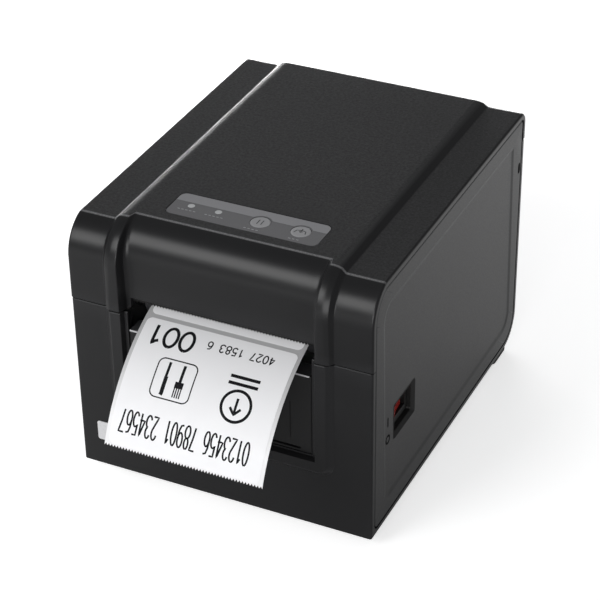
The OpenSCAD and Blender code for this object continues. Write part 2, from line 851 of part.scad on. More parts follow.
module status_lenses() {
    color([0.8, 0.85, 0.9])
        for (x = lens_x)
            translate([x, lens_y, board_z + 1]) cylinder(h = top_z - board_z - 1, r = lens_r, $fn = fine);
}

// Round button, kept in by a flange under the cover, on a stem that meets its switch when pressed
module push_button(x) {
    color([0.35, 0.35, 0.36]) translate([x, button_y, 0]) {
        translate([0, 0, top_z - wall - 0.1]) cylinder(h = wall + 0.1, r = button_r, $fn = fine);
        translate([0, 0, top_z - wall - 1.1]) cylinder(h = 1, r = button_r + 1.2, $fn = fine);
        translate([0, 0, board_z + 3.5 + button_travel])
            cylinder(h = top_z - wall - 1 - board_z - 3.5 - button_travel, r = 1.5, $fn = fine);
    }
}

module pause_button() {
    push_button(button_x[0]);
}

module feed_button() {
    push_button(button_x[1]);
}

// Small board under the buttons, with a switch below each
module button_board() {
    color([0.05, 0.35, 0.2]) {
        block([-board_post_x - 3, button_y - 7, board_z - 1.6], [board_post_x + 3, button_y + 7, board_z]);
        for (x = button_x) block([x - 3, button_y - 3, board_z - eps], [x + 3, button_y + 3, board_z + 3.4]);
        for (x = lens_x) block([x - 1, lens_y - 1, board_z - eps], [x + 1, lens_y + 1, board_z + 0.9]);
    }
}

// Slot in the face's lower edge that the tear bar sits in
module tear_slot() {
    block([-face_half + 1, yf + face_setback + 0.6, face_z - 1],
          [face_half - 1, yf + face_setback + 0.6 + tear_t, face_z + 5]);
}

// Steel strip with a row of teeth along its lower edge
module tear_bar() {
    x0 = -face_half + 1;
    n = floor(2 * (face_half - 1) / tear_pitch);
    step = 2 * (face_half - 1) / n;
    color([0.35, 0.34, 0.33])
        translate([0, yf + face_setback + 0.6 + tear_t, 0]) rotate([90, 0, 0]) linear_extrude(tear_t)
            polygon(concat([[-x0, face_z + 5], [x0, face_z + 5]],
                [for (k = [0:2 * n]) [x0 + k * step / 2, k % 2 == 0 ? face_z : face_z - 1]]));
}

// --- print head, in the cover ---
// Places its children on the print line, with X along the platen, Y back up the slope, Z away from the platen
module at_head() {
    translate([0, platen_y, platen_z]) rotate([exit_slope, 0, 0]) translate([0, 0, platen_r + head_lift]) children();
}

module thermal_head() {
    color([0.75, 0.76, 0.7]) at_head() block([-head_half, -3, 0], [head_half, 11, 1]);
}

// Aluminium bracket above the head, with an ear at each end on the pivot pin
module head_bracket() {
    color([0.72, 0.73, 0.75]) difference() {
        union() {
            at_head() block([-head_half, -3, 1], [head_half, 14, 5]);
            for (s = [-1, 1]) {
                rod_x(s * 42 - 2, s * 42 + 2, pivot_y, pivot_z, 4);
                at_head() block([s * 42 - 2, 12, 0], [s * 42 + 2, 26, 5]);
            }
        }
        rod_x(-head_half - 5, head_half + 5, pivot_y, pivot_z, pin_r + slip);
    }
}

module head_pivot_pin() {
    color("silver") rod_x(-mount_half + 2, mount_half - 2, pivot_y, pivot_z, pin_r);
}

module latch_pin() {
    color("silver") rod_x(-mount_half, mount_half, latch_y, latch_z, pin_r);
}

// Frame under the cover that carries the head's pivot, its springs and the latch
module head_mount() {
    color([0.14, 0.14, 0.15]) difference() {
        union() {
            block([-mount_half, platen_y - 8, mount_z], [mount_half, pivot_y + 8, mount_z + 2]);
            for (s = [-1, 1]) {
                block([s > 0 ? mount_half - 2.5 : -mount_half, yf + 26, mount_z],
                      [s > 0 ? mount_half : -mount_half + 2.5, pivot_y + 8, top_z - wall]);
                block([s > 0 ? mount_half - 1.9 : -mount_half, latch_y - 5, latch_z - 5],
                      [s > 0 ? mount_half : -mount_half + 1.9, latch_y + 5, mount_z + 1]);
                block([s > 0 ? 44.6 : -48.3, pivot_y - 5, pivot_z - 4], [s > 0 ? 48.3 : -44.6, pivot_y + 5, mount_z + 1]);
            }
        }
        // notches over the hooks
        for (x = [-hook_x - hook_t, hook_x])
            block([x - 0.4, latch_y - 5, mount_z - 1], [x + hook_t + 0.4, latch_y + 5, mount_z + 3]);
        rod_x(-mount_half - 5, mount_half + 5, pivot_y, pivot_z, pin_r);
        rod_x(-mount_half - 5, mount_half + 5, latch_y, latch_z, pin_r);
    }
}

// Coil spring on a Z axis, wound as a closed tube of wire
module coil(h, r, wire, turns) {
    around = 6;
    steps = 12 * turns;
    rings = [for (k = [0:steps], j = [0:around - 1])
        let (a = 360 * turns * k / steps, b = 360 * j / around, rr = r + wire * cos(b))
        [rr * cos(a), rr * sin(a), wire + (h - 2 * wire) * k / steps + wire * sin(b)]];
    sides = [for (k = [0:steps - 1], j = [0:around - 1])
        let (i = k * around, n = (j + 1) % around)
        [i + j, i + around + j, i + around + n, i + n]];
    ends = [[for (j = [0:around - 1]) j], [for (j = [around - 1:-1:0]) steps * around + j]];
    polyhedron(rings, concat(sides, ends));
}

module head_springs() {
    // height of the bracket's top face under the springs
    z = platen_z + (platen_r + head_lift + 5) / cos(exit_slope) + (spring_y - platen_y) * tan(exit_slope) + 1.4;
    color("silver")
        for (s = [-1, 1])
            translate([s * spring_x, spring_y, z]) coil(mount_z - z - 0.02, 3, 0.4, 5);
}

// Hooks that hold the platen's shaft when the cover is shut, drawn swung clear of it
module latch_hooks() {
    color([0.12, 0.12, 0.13])
        for (s = [-1, 1])
            translate([0, latch_y, latch_z]) rotate([latch_free, 0, 0])
                difference() {
                    along_x(s > 0 ? hook_x : -hook_x - hook_t, s > 0 ? hook_x + hook_t : -hook_x)
                        union() {
                            circle(4.5, $fn = fine);
                            translate([2, -32.5]) square([4, 32.5]);
                            translate([-3, -32.5]) square([7, 3.2]);
                        }
                    rod_x(-60, 60, 0, 0, pin_r + slip);
                }
}

// Ribbon cable from the head, back under the top towards the hinge
module head_cable() {
    path = [[pivot_y + 9, pivot_z + 1], [pivot_y + 12, mount_z + 5.5], [hinge_y - 20, mount_z + 5.5]];
    color([0.85, 0.85, 0.8])
        along_x(-10, 10)
            polygon([path[0], path[1], path[2], path[2] + [0, 0.6], path[1] + [-0.3, 0.6], path[0] + [-0.3, 0.6]]);
}

base_shell();
left_side_panel();
right_side_panel();
front_insert();
exit_guide();
badge_plate();
rubber_feet();
base_screws();
left_chassis_plate();
right_chassis_plate();
paper_guide();
gap_sensor();
platen_bushes();
idler_axle();
stepper_motor();
motor_screws();
control_board();
power_jack();
usb_port();
serial_port();
switch_housing();
hinge_pins();
label_web();
printed_label();
next_label();
platen_roller();
platen_shaft();
platen_gear();
idler_gear();
motor_pinion();
label_roll();
roll_core();
left_media_guide();
right_media_guide();
guide_pinion();
power_rocker();
cover_shell();
control_overlay();
status_lenses();
button_board();
tear_bar();
head_mount();
head_pivot_pin();
head_springs();
head_cable();
latch_pin();
pause_button();
feed_button();
head_bracket();
thermal_head();
latch_hooks();
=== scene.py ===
import json
import math
import bmesh
import bpy
from mathutils import Matrix, Vector

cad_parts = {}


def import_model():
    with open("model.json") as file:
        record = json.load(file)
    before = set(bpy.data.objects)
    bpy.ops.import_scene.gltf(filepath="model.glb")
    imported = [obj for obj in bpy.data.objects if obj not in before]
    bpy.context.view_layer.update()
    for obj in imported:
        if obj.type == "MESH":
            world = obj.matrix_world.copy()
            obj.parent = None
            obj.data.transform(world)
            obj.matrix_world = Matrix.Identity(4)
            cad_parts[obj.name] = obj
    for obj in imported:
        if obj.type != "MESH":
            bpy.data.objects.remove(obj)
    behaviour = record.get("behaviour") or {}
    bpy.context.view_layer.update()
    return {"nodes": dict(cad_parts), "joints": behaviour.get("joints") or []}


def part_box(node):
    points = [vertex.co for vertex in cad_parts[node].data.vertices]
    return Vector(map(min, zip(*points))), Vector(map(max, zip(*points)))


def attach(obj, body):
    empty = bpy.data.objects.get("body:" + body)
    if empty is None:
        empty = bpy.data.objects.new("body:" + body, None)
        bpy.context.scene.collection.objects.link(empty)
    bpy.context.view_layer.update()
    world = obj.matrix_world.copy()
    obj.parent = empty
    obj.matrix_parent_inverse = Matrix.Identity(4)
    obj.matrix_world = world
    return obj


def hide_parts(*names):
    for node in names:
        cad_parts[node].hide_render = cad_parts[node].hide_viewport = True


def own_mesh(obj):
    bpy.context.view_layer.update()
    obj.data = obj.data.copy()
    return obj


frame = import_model()

MM = 0.001                      # one millimetre in metres; every size is in millimetres until it is built


def box_mm(node):
    """Lowest and highest corner of a CAD node."""
    lo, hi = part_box(node)
    return lo / MM, hi / MM


def middle(node):
    lo, hi = box_mm(node)
    return (lo + hi) / 2


# --- places and sizes taken from the frame ---
COVER_LO, COVER_HI = box_mm("cover_shell")
BASE_LO, BASE_HI = box_mm("base_shell")
PANEL_LO, PANEL_HI = box_mm("left_side_panel")
INSERT_LO, INSERT_HI = box_mm("front_insert")
LIP_LO, LIP_HI = box_mm("exit_guide")
OVERLAY_LO, OVERLAY_HI = box_mm("control_overlay")
LENS_LO, LENS_HI = box_mm("status_lenses")
TEAR_LO, TEAR_HI = box_mm("tear_bar")
PLATEN_LO, PLATEN_HI = box_mm("platen_roller")
ROLL_LO, ROLL_HI = box_mm("label_roll")
LINER_LO, LINER_HI = box_mm("label_web")
LABEL_LO, LABEL_HI = box_mm("printed_label")
SCREW_LO, SCREW_HI = box_mm("base_screws")
FEET_LO, FEET_HI = box_mm("rubber_feet")
PLATEN = middle("platen_roller")
ROLL = middle("label_roll")
HINGE = middle("hinge_pins")
PAUSE = middle("pause_button")
FEED = middle("feed_button")
SWITCH = middle("switch_housing")

# --- sizes of the case ---
GAP = 0.6                       # seam between case parts
REAR_GAP = 1.0                  # seam at the rear
WALL = PANEL_HI.x - PANEL_LO.x
HALF_W = COVER_HI.x
INSET = HALF_W + PANEL_LO.x     # how far the base and the panels stand back from the cover
SIDE = HALF_W - INSET           # half width of the base, and outer face of the panels
FRONT = PANEL_LO.y - INSET - WALL - GAP     # front plane of the wings
REAR = COVER_HI.y
RAISE = FRONT - COVER_LO.y      # the raised centre and the ribs stand proud by this much
TOP = COVER_HI.z
WING_TOP = TOP - RAISE
BOTTOM = BASE_LO.z - INSET      # the cover's outline, carried on round the base
SEAM_FRONT = COVER_LO.z
SEAM_REAR = BASE_HI.z + REAR_GAP
BASE_TOP = SEAM_FRONT - GAP     # the base's upper edge at the front
SETBACK = 4.0                   # the face between the ribs stands back by this much
FRONT_R = 19.0                  # curve from the front to the top
CREASE_DROP = 18.2              # its centre below the wings' top, so that it meets the top in a crease
CREASE_SOFT = 0.9               # half width of the softened crease
TOE_R = 1.0                     # the side outline's lower front corner
INNER_R = 4.0                   # the same corner inside the wall
REAR_R = 6.0                    # its upper rear corner
HEEL_R = 17.0                   # its lower rear corner
EDGE_R = 1.2                    # rounding along the sides of cover and base
EDGE = 0.35                     # small rounding of the parts' other edges
RIB_FOOT = 58.0                 # half width across the ribs, at the seam
FACE_HALF = 47.0                # half width of the face between them
FACE_Z = TEAR_LO.z + 1.7        # lower edge of the face
FRAME_R = 7.5                   # lower corners of the raised frame on the base
FRAME_W = 11.0                  # width of the frame
FRAME_Z = INSERT_LO.z - FRAME_W + 0.7       # its lowest edge
KNUCKLE_X = 52.0                # the hinge's knuckles: place, width and radius
KNUCKLE_W = 22.0
KNUCKLE_R = 5.0
SCREW_HEAD_R = 2.6
WELL_HALF_W = 12.8              # half sizes of the power switch's well
WELL_HALF_H = 9.8
WELL_DEPTH = 6.0
CUT = 8.0                       # how far cutters reach past a surface

# --- sizes of the controls ---
BUTTON_R = 4.8
LENS_R = (LENS_HI.y - LENS_LO.y) / 2
LENS_CAP_R = 1.7                # the lit window on the film, wider than the lens's stem
LENS_X = (LENS_LO.x + LENS_R, LENS_HI.x - LENS_R)
LENS_Y = (LENS_LO.y + LENS_HI.y) / 2
FILM_TOP = TOP - 0.08

# --- the label's path ---
EXIT_SLOPE = 18.0               # slope of the paper where it leaves the platen, in degrees
CURL_R = 80.0
CURL_SWEEP = 50.0               # in degrees
PAPER_T = 0.15
LABEL_T = 0.12
LABEL_LIFT = 0.02               # clearance between the liner and a label
PRINT_H = 0.03                  # the print reaches this far above and below the label's face
WEB_GAP = 0.1                   # clearance between the liner and the rollers
PLATEN_R = (PLATEN_HI.z - PLATEN_LO.z) / 2
ROLL_R = (ROLL_HI.z - ROLL_LO.z) / 2
EXIT_NORMAL = 90.0 + EXIT_SLOPE
NORMAL = Vector((math.cos(math.radians(EXIT_NORMAL)), math.sin(math.radians(EXIT_NORMAL))))
BACK = Vector((NORMAL.y, -NORMAL.x))        # along the paper, from the tear bar to the platen
TEAR_Y = FRONT + 6.0
LEAVES = Vector((PLATEN.y, PLATEN.z)) + NORMAL * (PLATEN_R + WEB_GAP)
TEAR_AT = LEAVES - BACK * ((LEAVES.x - TEAR_Y) / NORMAL.y)
CURL_C = TEAR_AT - NORMAL * CURL_R


# --- outlines ---
def mix(p, q, t):
    return tuple(a + (b - a) * t for a, b in zip(p, q))


def smooth(t):
    """0 to 1 with a soft start and end."""
    return t * t * (3 - 2 * t)


def arc(centre, radius, start, end, steps):
    """Points (a, b) of an arc, angles in degrees."""
    out = []
    for k in range(steps + 1):
        angle = math.radians(start + (end - start) * k / steps)
        out.append((centre[0] + radius * math.cos(angle), centre[1] + radius * math.sin(angle)))
    return out


def rounded(lo, hi, radius, steps=6):
    """Rounded rectangle between two corners, anticlockwise, as points (a, b)."""
    a0, b0, a1, b1 = lo[0] + radius, lo[1] + radius, hi[0] - radius, hi[1] - radius
    out = []
    for k, centre in enumerate(((a1, b1), (a0, b1), (a0, b0), (a1, b0))):
        out += arc(centre, radius, 90 * k, 90 * k + 90, steps)
    return out


def offset(outline, d):
    """A convex outline, anticlockwise, drawn in by d along its points' normals."""
    out = []
    n = len(outline)
    for k, here in enumerate(outline):
        e1 = Vector(here) - Vector(outline[k - 1])
        e2 = Vector(outline[(k + 1) % n]) - Vector(here)
        e1 = e1.normalized() if e1.length > 1e-9 else e2.normalized()
        e2 = e2.normalized() if e2.length > 1e-9 else e1
        normal = Vector((-e1.y, e1.x))
        mean = (normal + Vector((-e2.y, e2.x))).normalized()
        reach = d / max(0.3, mean.dot(normal))
        out.append((here[0] + mean.x * reach, here[1] + mean.y * reach))
    return out


def match_ring(shape, guide, centre):
    """Points on the outline shape in the same directions from centre as the points of guide."""
    shape = [Vector(p) - Vector(centre) for p in shape]
    out = []
    for point in guide:
        ray = Vector(point) - Vector(centre)
        reach = 0.0
        for k, a in enumerate(shape):
            edge = shape[(k + 1) % len(shape)] - a
            across = ray.cross(edge)
            if abs(across) < 1e-9:
                continue
            along_edge = a.cross(ray) / across
            if -1e-6 <= along_edge <= 1 + 1e-6:
                reach = max(reach, a.cross(edge) / across)
        out.append(tuple(Vector(centre) + ray * reach))
    return out


def rod(start, end, radius, soft=0.4):
    """Line (place, radius) of a turned rod with softened ends."""
    return [(start, radius - soft), (start + soft, radius), (end - soft, radius), (end, radius - soft)]


def put(axis, along, a, b):
    """A point at a place along an axis, with its other two coordinates."""
    return {"x": (along, a, b), "y": (a, along, b), "z": (a, b, along)}[axis]


# --- meshes ---
class Solid:
    """Points and faces of one piece; every part added to it is closed."""

    def __init__(self):
        self.points = []
        self.faces = []
        self.slots = []

    def add(self, points, faces, slot=0):
        start = len(self.points)
        self.points += [tuple(p) for p in points]
        self.faces += [[start + i for i in face] for face in faces]
        self.slots += [slot] * len(faces)
        return self

    def loft(self, rings, closed=False, slot=0):
        """Skin over rings of equal length, capped, or closed from the last ring to the first."""
        n = len(rings[0])
        faces = []
        for r in range(len(rings) if closed else len(rings) - 1):
            a, b = r * n, (r + 1) % len(rings) * n
            faces += [[a + k, a + (k + 1) % n, b + (k + 1) % n, b + k] for k in range(n)]
        if not closed:
            faces.append(list(range(n))[::-1])
            faces.append([(len(rings) - 1) * n + k for k in range(n)])
        return self.add([p for ring in rings for p in ring], faces, slot)

    def shell(self, outer, inner, keep=lambda i, j: True):
        """Closed wall between two grids of points; keep(i, j) says which cells it has."""
        rows, cols = len(outer), len(outer[0])

        def at(side, corner):
            return (side * rows + corner[0]) * cols + corner[1]

        kept = {(i, j) for i in range(rows - 1) for j in range(cols - 1) if keep(i, j)}
        faces = []
        for i, j in sorted(kept):
            corners = [(i, j), (i, j + 1), (i + 1, j + 1), (i + 1, j)]
            faces.append([at(0, c) for c in corners])
            faces.append([at(1, c) for c in reversed(corners)])
            for k, beyond in enumerate(((i - 1, j), (i, j + 1), (i + 1, j), (i, j - 1))):
                if beyond not in kept:
                    p, q = corners[k], corners[(k + 1) % 4]
                    faces.append([at(0, q), at(0, p), at(1, p), at(1, q)])
        return self.add([p for row in outer + inner for p in row], faces)

    def prism(self, axis, outline, levels):
        """An outline carried along an axis; each level is (place along the axis, how far drawn in)."""
        return self.loft([[put(axis, along, *p) for p in offset(outline, d)] for along, d in levels])

    def block(self, lo, hi, soft=0.3, slot=0):
        """Box with its edges rounded off by soft."""
        rings = []
        narrow = min(hi[0] - lo[0], hi[1] - lo[1]) / 2
        for z, d in ((lo[2], soft), (lo[2] + soft * 0.3, soft * 0.3), (lo[2] + soft, 0),
                     (hi[2] - soft, 0), (hi[2] - soft * 0.3, soft * 0.3), (hi[2], soft)):
            corner = min(soft, 0.95 * (narrow - d))
            shape = rounded((lo[0] + d, lo[1] + d), (hi[0] - d, hi[1] - d), corner, 3)
            rings.append([(x, y, z) for x, y in shape])
        return self.loft(rings, slot=slot)

    def turned(self, axis, centre, line, steps=48):
        """Solid of revolution: line is (place along the axis, radius), from end to end."""
        rings = []
        for along, radius in line:
            circle = arc((0, 0), radius, 0, 360, steps)[:-1]
            rings.append([[c + d for c, d in zip(centre, put(axis, along, *p))] for p in circle])
        return self.loft(rings)


def new_object(name, data):
    obj = bpy.data.objects.new(name, data)
    bpy.context.scene.collection.objects.link(obj)
    return obj


def make_object(name, solid, looks=()):
    mesh = bpy.data.meshes.new(name)
    mesh.from_pydata([[c * MM for c in p] for p in solid.points], [], solid.faces)
    bm = bmesh.new()
    bm.from_mesh(mesh)
    for face, slot in zip(bm.faces, solid.slots):
        face.material_index = slot
        face.smooth = True
    bmesh.ops.delete(bm, geom=[v for v in bm.verts if not v.link_faces], context="VERTS")
    bmesh.ops.remove_doubles(bm, verts=bm.verts, dist=1e-6)
    bmesh.ops.dissolve_degenerate(bm, dist=1e-7, edges=bm.edges)
    bmesh.ops.recalc_face_normals(bm, faces=bm.faces)
    bm.to_mesh(mesh)
    bm.free()
    for look in looks:
        mesh.materials.append(MATERIALS[look])
    return new_object(name, mesh)


def cut(obj, cutter):
    """Takes a Solid out of an object's mesh."""
    tool = make_object("cutter", cutter)
    modifier = obj.modifiers.new("cut", "BOOLEAN")
    modifier.object = tool
    modifier.operation = "DIFFERENCE"
    modifier.solver = "EXACT"
    bpy.context.view_layer.update()
    done = obj.evaluated_get(bpy.context.evaluated_depsgraph_get())
    mesh = bpy.data.meshes.new_from_object(done)
    obj.modifiers.clear()
    old = obj.data
    obj.data = mesh
    bpy.data.meshes.remove(old)
    bpy.data.objects.remove(tool)


def join(obj, solid):
    """Adds a Solid to an object's mesh."""
    other = make_object("fittings", solid)
    bm = bmesh.new()
    bm.from_mesh(obj.data)
    bm.from_mesh(other.data)
    bm.to_mesh(obj.data)
    bm.free()
    bpy.data.objects.remove(other)


LARGE_FACE = 400 * MM * MM      # flat faces above this size keep their own normal


def piece(name, solid, looks, body, node=None, sharp=32, cutters=(), fittings=None):
    """A finished piece on its CAD body, in place of a CAD node. looks names its materials, with spaces
    between them; its fittings are added after the cuts."""
    obj = make_object(name, solid, looks.split())
    for cutter in cutters:
        cut(obj, cutter)
    if fittings:
        join(obj, fittings)
    obj.data.name = name
    obj.data.set_sharp_from_angle(angle=math.radians(sharp))
    for polygon in obj.data.polygons:
        polygon.use_smooth = polygon.area < LARGE_FACE
    weigh_normals(obj)
    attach(obj, body)
    if node:
        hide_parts(node)
    return obj


def weigh_normals(obj):
    obj.modifiers.new("weighted", "WEIGHTED_NORMAL").keep_sharp = True


# --- materials ---
class Nodes:
    """Short way to write a material's node tree; an input's value is a number, a colour or a socket."""

    def __init__(self, name):
        self.material = bpy.data.materials.new(name)
        self.material.use_nodes = True
        self.tree = self.material.node_tree
        self.place = self.node("ShaderNodeTexCoord", "Object")

    def fill(self, socket, value):
        if isinstance(value, bpy.types.NodeSocket):
            self.tree.links.new(value, socket)
        elif socket.type == "RGBA":
            socket.default_value = (*value, 1)
        else:
            socket.default_value = value

    def node(self, kind, output, inputs=(), **settings):
        """A new node with its settings and inputs, which are given by name or number; its output."""
        node = self.tree.nodes.new(kind)
        for key, value in settings.items():
            setattr(node, key, value)
        for key, value in dict(inputs).items():
            self.fill(node.inputs[key], value)
        return node.outputs[output]

    def noise(self, scale, detail=3.0, roughness=0.55, stretch=None):
        place = self.place
        if stretch:
            place = self.node("ShaderNodeMapping", "Vector", {"Vector": place, "Scale": stretch})
        inputs = {"Vector": place, "Scale": scale, "Detail": detail, "Roughness": roughness}
        return self.node("ShaderNodeTexNoise", "Fac", inputs)

    def ramp(self, value, low, high, from_low=0.0, from_high=1.0):
        """value mapped from one range to another; low and high may be numbers or colours."""
        if isinstance(low, tuple):
            return self.blend(self.ramp(value, 0.0, 1.0, from_low, from_high), low, high)
        inputs = {"Value": value, "From Min": from_low, "From Max": from_high, "To Min": low, "To Max": high}
        return self.node("ShaderNodeMapRange", "Result", inputs)

    def math(self, operation, a, b=0.0):
        return self.node("ShaderNodeMath", "Value", {0: a, 1: b}, operation=operation)

    def blend(self, fac, a, b, kind="RGBA"):
        """a and b mixed by fac: colours, or numbers if kind is FLOAT."""
        return self.node("ShaderNodeMix", "Result", {"Factor": fac, "A": a, "B": b}, data_type=kind)

    def axes(self, vector=None):
        """The X, Y and Z of a vector, or of the place on the object."""
        split = self.tree.nodes.new("ShaderNodeSeparateXYZ")
        self.fill(split.inputs["Vector"], vector or self.place)
        return split.outputs

    def edges(self):
        """1 on convex edges, 0 on flat stretches."""
        return self.ramp(self.node("ShaderNodeNewGeometry", "Pointiness"), 0.0, 1.0, 0.51, 0.56)

    def cloudy(self, noise, colour, low, high):
        """A colour that varies between two multiples of itself."""
        return self.ramp(noise, scaled(colour, low), scaled(colour, high), 0.3, 0.7)

    def around(self, noise, value, less, more=None):
        """A number that varies around a value."""
        return self.ramp(noise, value - less, value + (less if more is None else more), 0.3, 0.7)

    def bump(self, height, strength, distance):
        inputs = {"Strength": strength, "Distance": distance, "Height": height}
        return self.node("ShaderNodeBump", "Normal", inputs)

    def finish(self, colour, roughness, specular=0.5, **more):
        """Sets the shader's inputs and gives the material; an underscore in a name stands for a space."""
        more.update(Base_Color=colour, Roughness=roughness, Specular_IOR_Level=specular)
        for key, value in more.items():
            self.fill(self.tree.nodes["Principled BSDF"].inputs[key.replace("_", " ")], value)
        return self.material


def scaled(colour, factor):
    return tuple(c * factor for c in colour)


def plastic(name, colour, rough=0.42, grain=900.0, depth=0.00001, wear=1.25, specular=0.5):
    """Moulded plastic: cloudy tone, fine texture, edges a little paler from handling."""
    n = Nodes(name)
    fine = n.noise(grain, 3.0, 0.6)
    tone = n.cloudy(n.noise(22.0, 4.0), colour, 0.9, 1.1)
    worn = n.blend(n.edges(), tone, scaled(colour, wear))
    return n.finish(worn, n.around(fine, rough, 0.05), specular, Normal=n.bump(fine, 0.5, depth))


def crease_highlight_mask(n):
    """1 along the crease between the front's curve and the top, where a paler line is painted in as a
    highlight.
    """
    x, y, z = n.axes()
    crease_y = FRONT + FRONT_R - math.sqrt(FRONT_R ** 2 - CREASE_DROP ** 2)
    centre = n.ramp(n.math("ABSOLUTE", x), 1.0, 0.0, (FACE_HALF + 2.5) * MM, (FACE_HALF + 3.5) * MM)
    line = n.ramp(centre, crease_y * MM, (crease_y + SETBACK) * MM)
    near = n.ramp(n.math("ABSOLUTE", n.math("SUBTRACT", y, line)), 1.0, 0.0, 0.3 * MM, 0.9 * MM)
    return n.math("MULTIPLY", near, n.ramp(z, 0.0, 1.0, (WING_TOP - 1) * MM, (WING_TOP - 0.5) * MM))


def case_plastic(tone, top_tone, crease_highlight_tone):
    """Black case: spark-eroded grain on the faces that look up, satin on the upright ones, and a painted
    highlight along the front crease.
    """
    n = Nodes("case_plastic")
    _, _, up = n.axes(n.node("ShaderNodeNewGeometry", "Normal"))
    facing_up = n.ramp(up, 0.0, 1.0, 0.972, 0.997)
    fine = n.noise(1500.0, 4.0, 0.7)
    coarse = n.noise(700.0, 2.0, 0.5)
    satin = n.cloudy(n.noise(16.0, 4.0), tone, 0.92, 1.08)
    speckle = n.ramp(fine, scaled(top_tone, 0.55), scaled(top_tone, 1.5), 0.34, 0.66)
    colour = n.blend(facing_up, satin, speckle)
    # painted highlight: a paler speckled line along the crease stands in for the light it catches
    painted_crease_highlight = n.math("MULTIPLY", crease_highlight_mask(n), n.ramp(fine, 0.5, 1.0, 0.4, 0.6))
    colour = n.blend(painted_crease_highlight, colour, crease_highlight_tone)
    worn = n.blend(n.edges(), colour, scaled(tone, 1.5))
    rough = n.blend(facing_up, 0.3, n.ramp(coarse, 0.52, 0.66, 0.3, 0.7), "FLOAT")
    grain = n.math("MULTIPLY", n.math("ADD", fine, coarse), facing_up)
    height = n.math("ADD", grain, n.math("MULTIPLY", fine, 0.15))
    return n.finish(worn, rough, 0.3, Normal=n.bump(height, 0.55, 0.00006))


def metal(name, colour, rough=0.3, stretch=(1, 30, 30)):
    """Steel or plated sheet with brushing along X, and duller patches."""
    n = Nodes(name)
    lines = n.noise(260.0, 4.0, 0.6, stretch)
    cloud = n.noise(45.0, 3.0)
    dull = n.math("ADD", n.around(lines, rough, 0.06, 0.08), n.ramp(cloud, 0.0, 0.08, 0.4, 0.8))
    tone = n.cloudy(cloud, colour, 0.85, 1.0)
    return n.finish(tone, dull, Normal=n.bump(lines, 0.4, 0.000004), Metallic=1.0)


def paper(name, colour, fibre=0.000006, rough=0.5, sheen=0.1, shade=1.0):
    """Coated paper: faint fibres and mottling; near the slot its tone is multiplied by shade, which paints
    in the shade the cover's face casts there.
    """
    n = Nodes(name)
    fibres = n.noise(1400.0, 5.0, 0.65, (1, 0.35, 1))
    tone = n.cloudy(n.noise(60.0, 3.0), colour, 0.965, 1.0)
    # painted shade: high up and in front of the tear bar the paper is darkened
    if shade < 1:
        _, y, z = n.axes()
        high = n.ramp(z, 0.0, 1.0, (TEAR_LO.z - 35) * MM, (TEAR_LO.z - 5) * MM)
        out = n.ramp(y, 1.0, 0.0, (FRONT + 6) * MM, (FRONT + 8) * MM)
        tone = n.blend(n.math("MULTIPLY", high, out), tone, scaled(colour, shade))
    normal = n.bump(fibres, 0.4, fibre)
    return n.finish(tone, n.around(fibres, rough, 0.06), 0.3, Normal=normal, Sheen_Weight=sheen)


def roll_paper(name, colour):
    """The side of a wound roll: layers as fine rings about the roll's axis."""
    n = Nodes(name)
    _, y, z = n.axes()
    squares = []
    for value, centre in ((y, ROLL.y), (z, ROLL.z)):
        away = n.math("SUBTRACT", value, centre * MM)
        squares.append(n.math("MULTIPLY", away, away))
    radius = n.math("SQRT", n.math("ADD", *squares))
    wobble = n.math("MULTIPLY", n.noise(60.0, 2.0), 0.0004)
    layers = n.math("SINE", n.math("MULTIPLY", n.math("ADD", radius, wobble), 9000.0))
    tone = n.ramp(layers, scaled(colour, 0.78), colour, -1.0, 1.0)
    return n.finish(tone, 0.7, Normal=n.bump(layers, 0.4, 0.00002))


def rubber(name, colour, rough=0.75):
    n = Nodes(name)
    fine = n.noise(1600.0, 4.0, 0.7)
    tone = n.cloudy(n.noise(70.0, 3.0), colour, 0.8, 1.2)
    return n.finish(tone, n.around(fine, rough, 0.08), 0.3, Normal=n.bump(fine, 0.5, 0.00002))


def board(name):
    """Green solder mask with copper tracks showing through."""
    n = Nodes(name)
    turn = {"Vector": n.place, "Rotation": (0, math.radians(90), 0)}
    turned = n.node("ShaderNodeMapping", "Vector", turn)
    tracks = n.node("ShaderNodeTexBrick", "Color", {
        "Vector": turned, "Scale": 130.0, "Mortar Size": 0.035,
        "Color1": (0.012, 0.11, 0.05), "Color2": (0.015, 0.13, 0.06), "Mortar": (0.04, 0.22, 0.09)})
    normal = n.bump(tracks.node.outputs["Fac"], 0.3, 0.00003)
    return n.finish(tracks, n.around(n.noise(300.0), 0.27, 0.07), Normal=normal)


def thermal_print(name):
    """Thermal print: black, a little broken up by the paper's grain."""
    n = Nodes(name)
    grain = n.noise(1800.0, 3.0, 0.6)
    tone = n.ramp(grain, (0.003, 0.003, 0.004), (0.015, 0.015, 0.017), 0.35, 0.75)
    return n.finish(tone, 0.6, 0.1, Normal=n.bump(grain, 0.2, 0.000005))


def lens(name, colour):
    n = Nodes(name)
    cloud = n.noise(500.0, 2.0)
    tone = n.cloudy(cloud, colour, 0.92, 1.0)
    return n.finish(tone, 0.18, Normal=n.bump(cloud, 0.2, 0.00001), Transmission_Weight=0.25)


